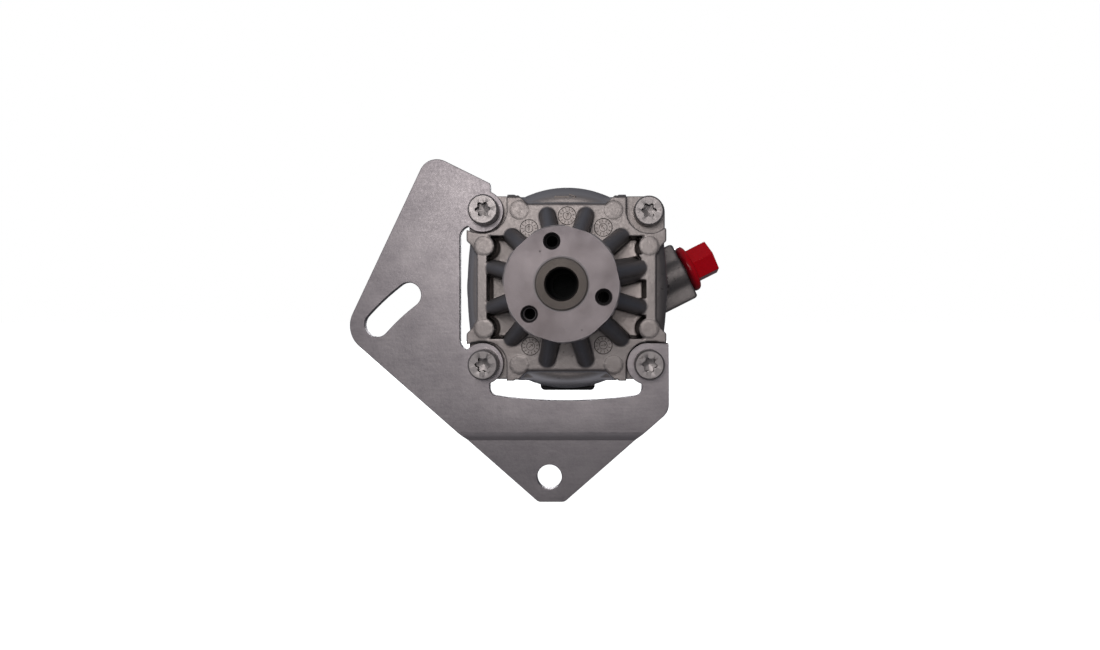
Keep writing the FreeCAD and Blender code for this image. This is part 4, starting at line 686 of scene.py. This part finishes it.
# Painted shade darkens all threads but the lower left hole's, and those too deeper in.
darkened(thread_finish, lambda place: spread(
    near(place, bolt_holes[1]), 4.0, 3.8, 0.9, 0.0) + spread(depth(place), 3.5, 6.0))
deselect()
bpy.ops.mesh.primitive_circle_add(vertices=3, radius=0.34 * MM, fill_type="NGON",
                                  location=(2.5 * MM, 0.0, 0.0),
                                  rotation=(0.0, 0.0, math.radians(90)))
coil = bpy.context.object
bpy.ops.object.transform_apply(location=True, rotation=True)
modified(coil, "SCREW", axis="Y", angle=math.radians(360), screw_offset=1.0 * MM, iterations=6,
         steps=28, use_merge_vertices=False)
on_mesh(coil, (bpy.ops.mesh.remove_doubles, {"threshold": 0.00001}),
        (bpy.ops.mesh.fill_holes, {"sides": 4}),
        (bpy.ops.mesh.normals_make_consistent, {"inside": False}))
coils = [shifted_copy(coil, "coil_copy", (x, 1.6, z)) for x, z in bolt_holes]
bpy.data.objects.remove(coil)
threads = joined(coils, "flange_threads")
coat(threads, thread_finish)
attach(threads, "shaft")

shaft_finish = turned_finish("shaft_steel", (0.09, 0.08, 0.073), (0.06, 0.053, 0.048), 0.42, 0.9)
# Painted shade blackens the bore beyond its mouth.
darkened(shaft_finish, lambda place: (
    spread(near(place, AXIS), 6.5, 6.1) * spread(depth(place), 0.2, 1.2)),
    (0.012, 0.013, 0.013))
# Its rounded end edge is worn as dull as its face.
worn(shaft_finish, lambda place: (
    spread(near(place, AXIS), 9.2, 9.4) * spread(depth(place), 0.4, 0.2)),
    (0.15, 0.135, 0.125))
dress(shaft_finish, "drive_shaft")


# Cover screws: cold-headed steel with a zinc-flake coat, light, matt and finely pitted.
# The six-lobe recess is punched, and painted shade darkens its walls.
def edged(thing, width, steps, sharp):
    """Clears a copy's flat faces of inner lines, breaks its sharp edges and evens its shading."""
    on_mesh(thing, (bpy.ops.mesh.dissolve_limited, {"angle_limit": math.radians(0.6)}))
    modified(thing, "BEVEL", width=width * MM, segments=steps, limit_method="ANGLE",
             angle_limit=math.radians(sharp))
    modified(thing, "TRIANGULATE")
    bpy.ops.object.shade_smooth_by_angle(angle=math.radians(35))
    modified(thing, "WEIGHTED_NORMAL", weight=100, keep_sharp=True)


def screw_skin(name, node):
    """The coat of one screw, whose recess is found from its node's front."""
    material, surface, place = new_finish(name)
    fleck = noise(place, 1400.0, 3.0, 0.6)
    smudge = noise(place, 140.0, 4.0, 0.6)
    colour = blend_colour(spread(fleck * 0.4 + smudge * 0.6, 0.35, 0.65),
                          (0.31, 0.29, 0.285), (0.43, 0.405, 0.40))
    pit = spread(noise(place, 620.0, 2.0, 0.5), 0.62, 0.70)
    feed(surface, "Base Color", blend_colour(pit * 0.6, colour, (0.12, 0.105, 0.10)))
    feed(surface, "Metallic", 0.7)
    feed(surface, "Roughness", spread(fleck, 0.3, 0.7, 0.36, 0.48))
    bumped(surface, fleck + smudge, 0.00003)
    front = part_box(node)[0][1] * 1000
    darkened(material, lambda place: (
        spread(near(place, SCREW_PLACE, fold=True), 3.9, 3.6)
        * spread(depth(place), front + 0.2, front + 1.2, 0.0, 0.75)
        * spread(depth(place), front + 3.35, front + 3.2)))
    return material


for number in (1, 2, 3, 4):
    node = f"cover_screw_{number}"
    screw = take_copy(node, f"lobed_screw_{number}")
    low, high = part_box(node)
    # The punch leaves a shallow cone at the bottom of the recess.
    cut_by(screw, cone_tool(((low[0] + high[0]) / 2, low[1] + 3.85 * MM, (low[2] + high[2]) / 2),
                            3.4, 0.05, 0.95))
    edged(screw, 0.18, 2, 38)
    coat(screw, screw_skin(f"zinc_flake_{number}", node))
    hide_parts(node)
    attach(screw, "root")


# Mounting bracket: 3.5 mm rolled steel sheet, laser cut and joggled. Its skin is dull and
# mottled from rolling, and painted shade darkens it towards the foot.
sheet_finish, surface, place = new_finish("rolled_sheet")
mottle = noise(place, 75.0, 5.0, 0.62)
grit = noise(place, 800.0, 4.0, 0.7)
streak = noise(add_node(place.tree, "ShaderNodeMapping", {}, {
    "Vector": place, "Scale": (30.0, 30.0, 240.0)}), 4.0, 3.0, 0.5)
tone = spread(mottle * 0.45 + grit * 0.35 + streak * 0.2, 0.36, 0.64)
sheet = blend_colour(tone, (0.33, 0.305, 0.32), (0.50, 0.465, 0.475))
high = reach(place, UP)
# Painted shade darkens the sheet towards the foot.
sheet = blend_colour(spread(high, -57.0, -63.0) * 0.35, sheet, (0.22, 0.205, 0.215))
# The slope between the two bends faces down, where the floor throws a little light back.
slope_middle = -66.1
slope = spread(abs(high - slope_middle), 2.2, 1.2)
feed(surface, "Base Color", blend_colour(slope * 0.45, sheet, (0.62, 0.58, 0.60)))
feed(surface, "Metallic", 0.8 - slope * 0.25)
feed(surface, "Roughness", spread(grit, 0.3, 0.7, 0.40, 0.58))
bumped(surface, grit + mottle * 0.5, 0.00006)
bracket = take_copy("mounting_bracket", "bracket_sheet")
edged(bracket, 0.35, 3, 50)
coat(bracket, sheet_finish)
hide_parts("mounting_bracket")
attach(bracket, "root")


# Transport plug: moulded from soft red plastic and pushed into the outlet, which points up
# to the right. It is glossy and a little translucent, with painted light on its lowest flat.
outlet_turn = math.radians(26.7)
plug_finish, surface, place = new_finish("red_plastic")
cloud = noise(place, 120.0, 3.0, 0.5)
along = (reach(place, ACROSS) * math.cos(outlet_turn)
         + reach(place, UP) * math.sin(outlet_turn))
normal = add_node(place.tree, "ShaderNodeNewGeometry", output="Normal")
sideways = (part(normal, ACROSS) * math.sin(outlet_turn)
            - part(normal, UP) * math.cos(outlet_turn))
red = blend_colour(cloud, (0.72, 0.002, 0.010), (0.84, 0.004, 0.018))
# Its flange is darker than its cap, and painted light lifts the cap's thin lowest flat.
red = blend_colour(spread(along, 61.6, 58.8) * 0.85, red, (0.10, 0.003, 0.010))
feed(surface, "Base Color", blend_colour(
    spread(sideways, 0.8, 0.95) * spread(along, 64.0, 65.0) * 0.7, red, (0.80, 0.30, 0.32)))
feed(surface, "Roughness", spread(cloud, 0.3, 0.7, 0.22, 0.32))
feed(surface, "Specular IOR Level", 0.08)
feed(surface, "Coat Weight", 0.5)
feed(surface, "Coat Roughness", 0.12)
feed(surface, "Subsurface Weight", 0.15)
feed(surface, "Subsurface Radius", (0.004, 0.0004, 0.0004))
bumped(surface, cloud, 0.00004)
plug = take_copy("port_plug", "transport_plug")
# The cap is turned so that one of its edges is nearly towards the camera.
plug_axis = Vector((math.cos(outlet_turn), 0.0, math.sin(outlet_turn)))
plug_middle = sum((point.co for point in plug.data.vertices), Vector()) / len(plug.data.vertices)
plug.data.transform(Matrix.Translation(plug_middle) @ Matrix.Rotation(
    math.radians(19), 4, plug_axis) @ Matrix.Translation(-plug_middle))
edged(plug, 0.8, 4, 40)
coat(plug, plug_finish)
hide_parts("port_plug")
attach(plug, "root")
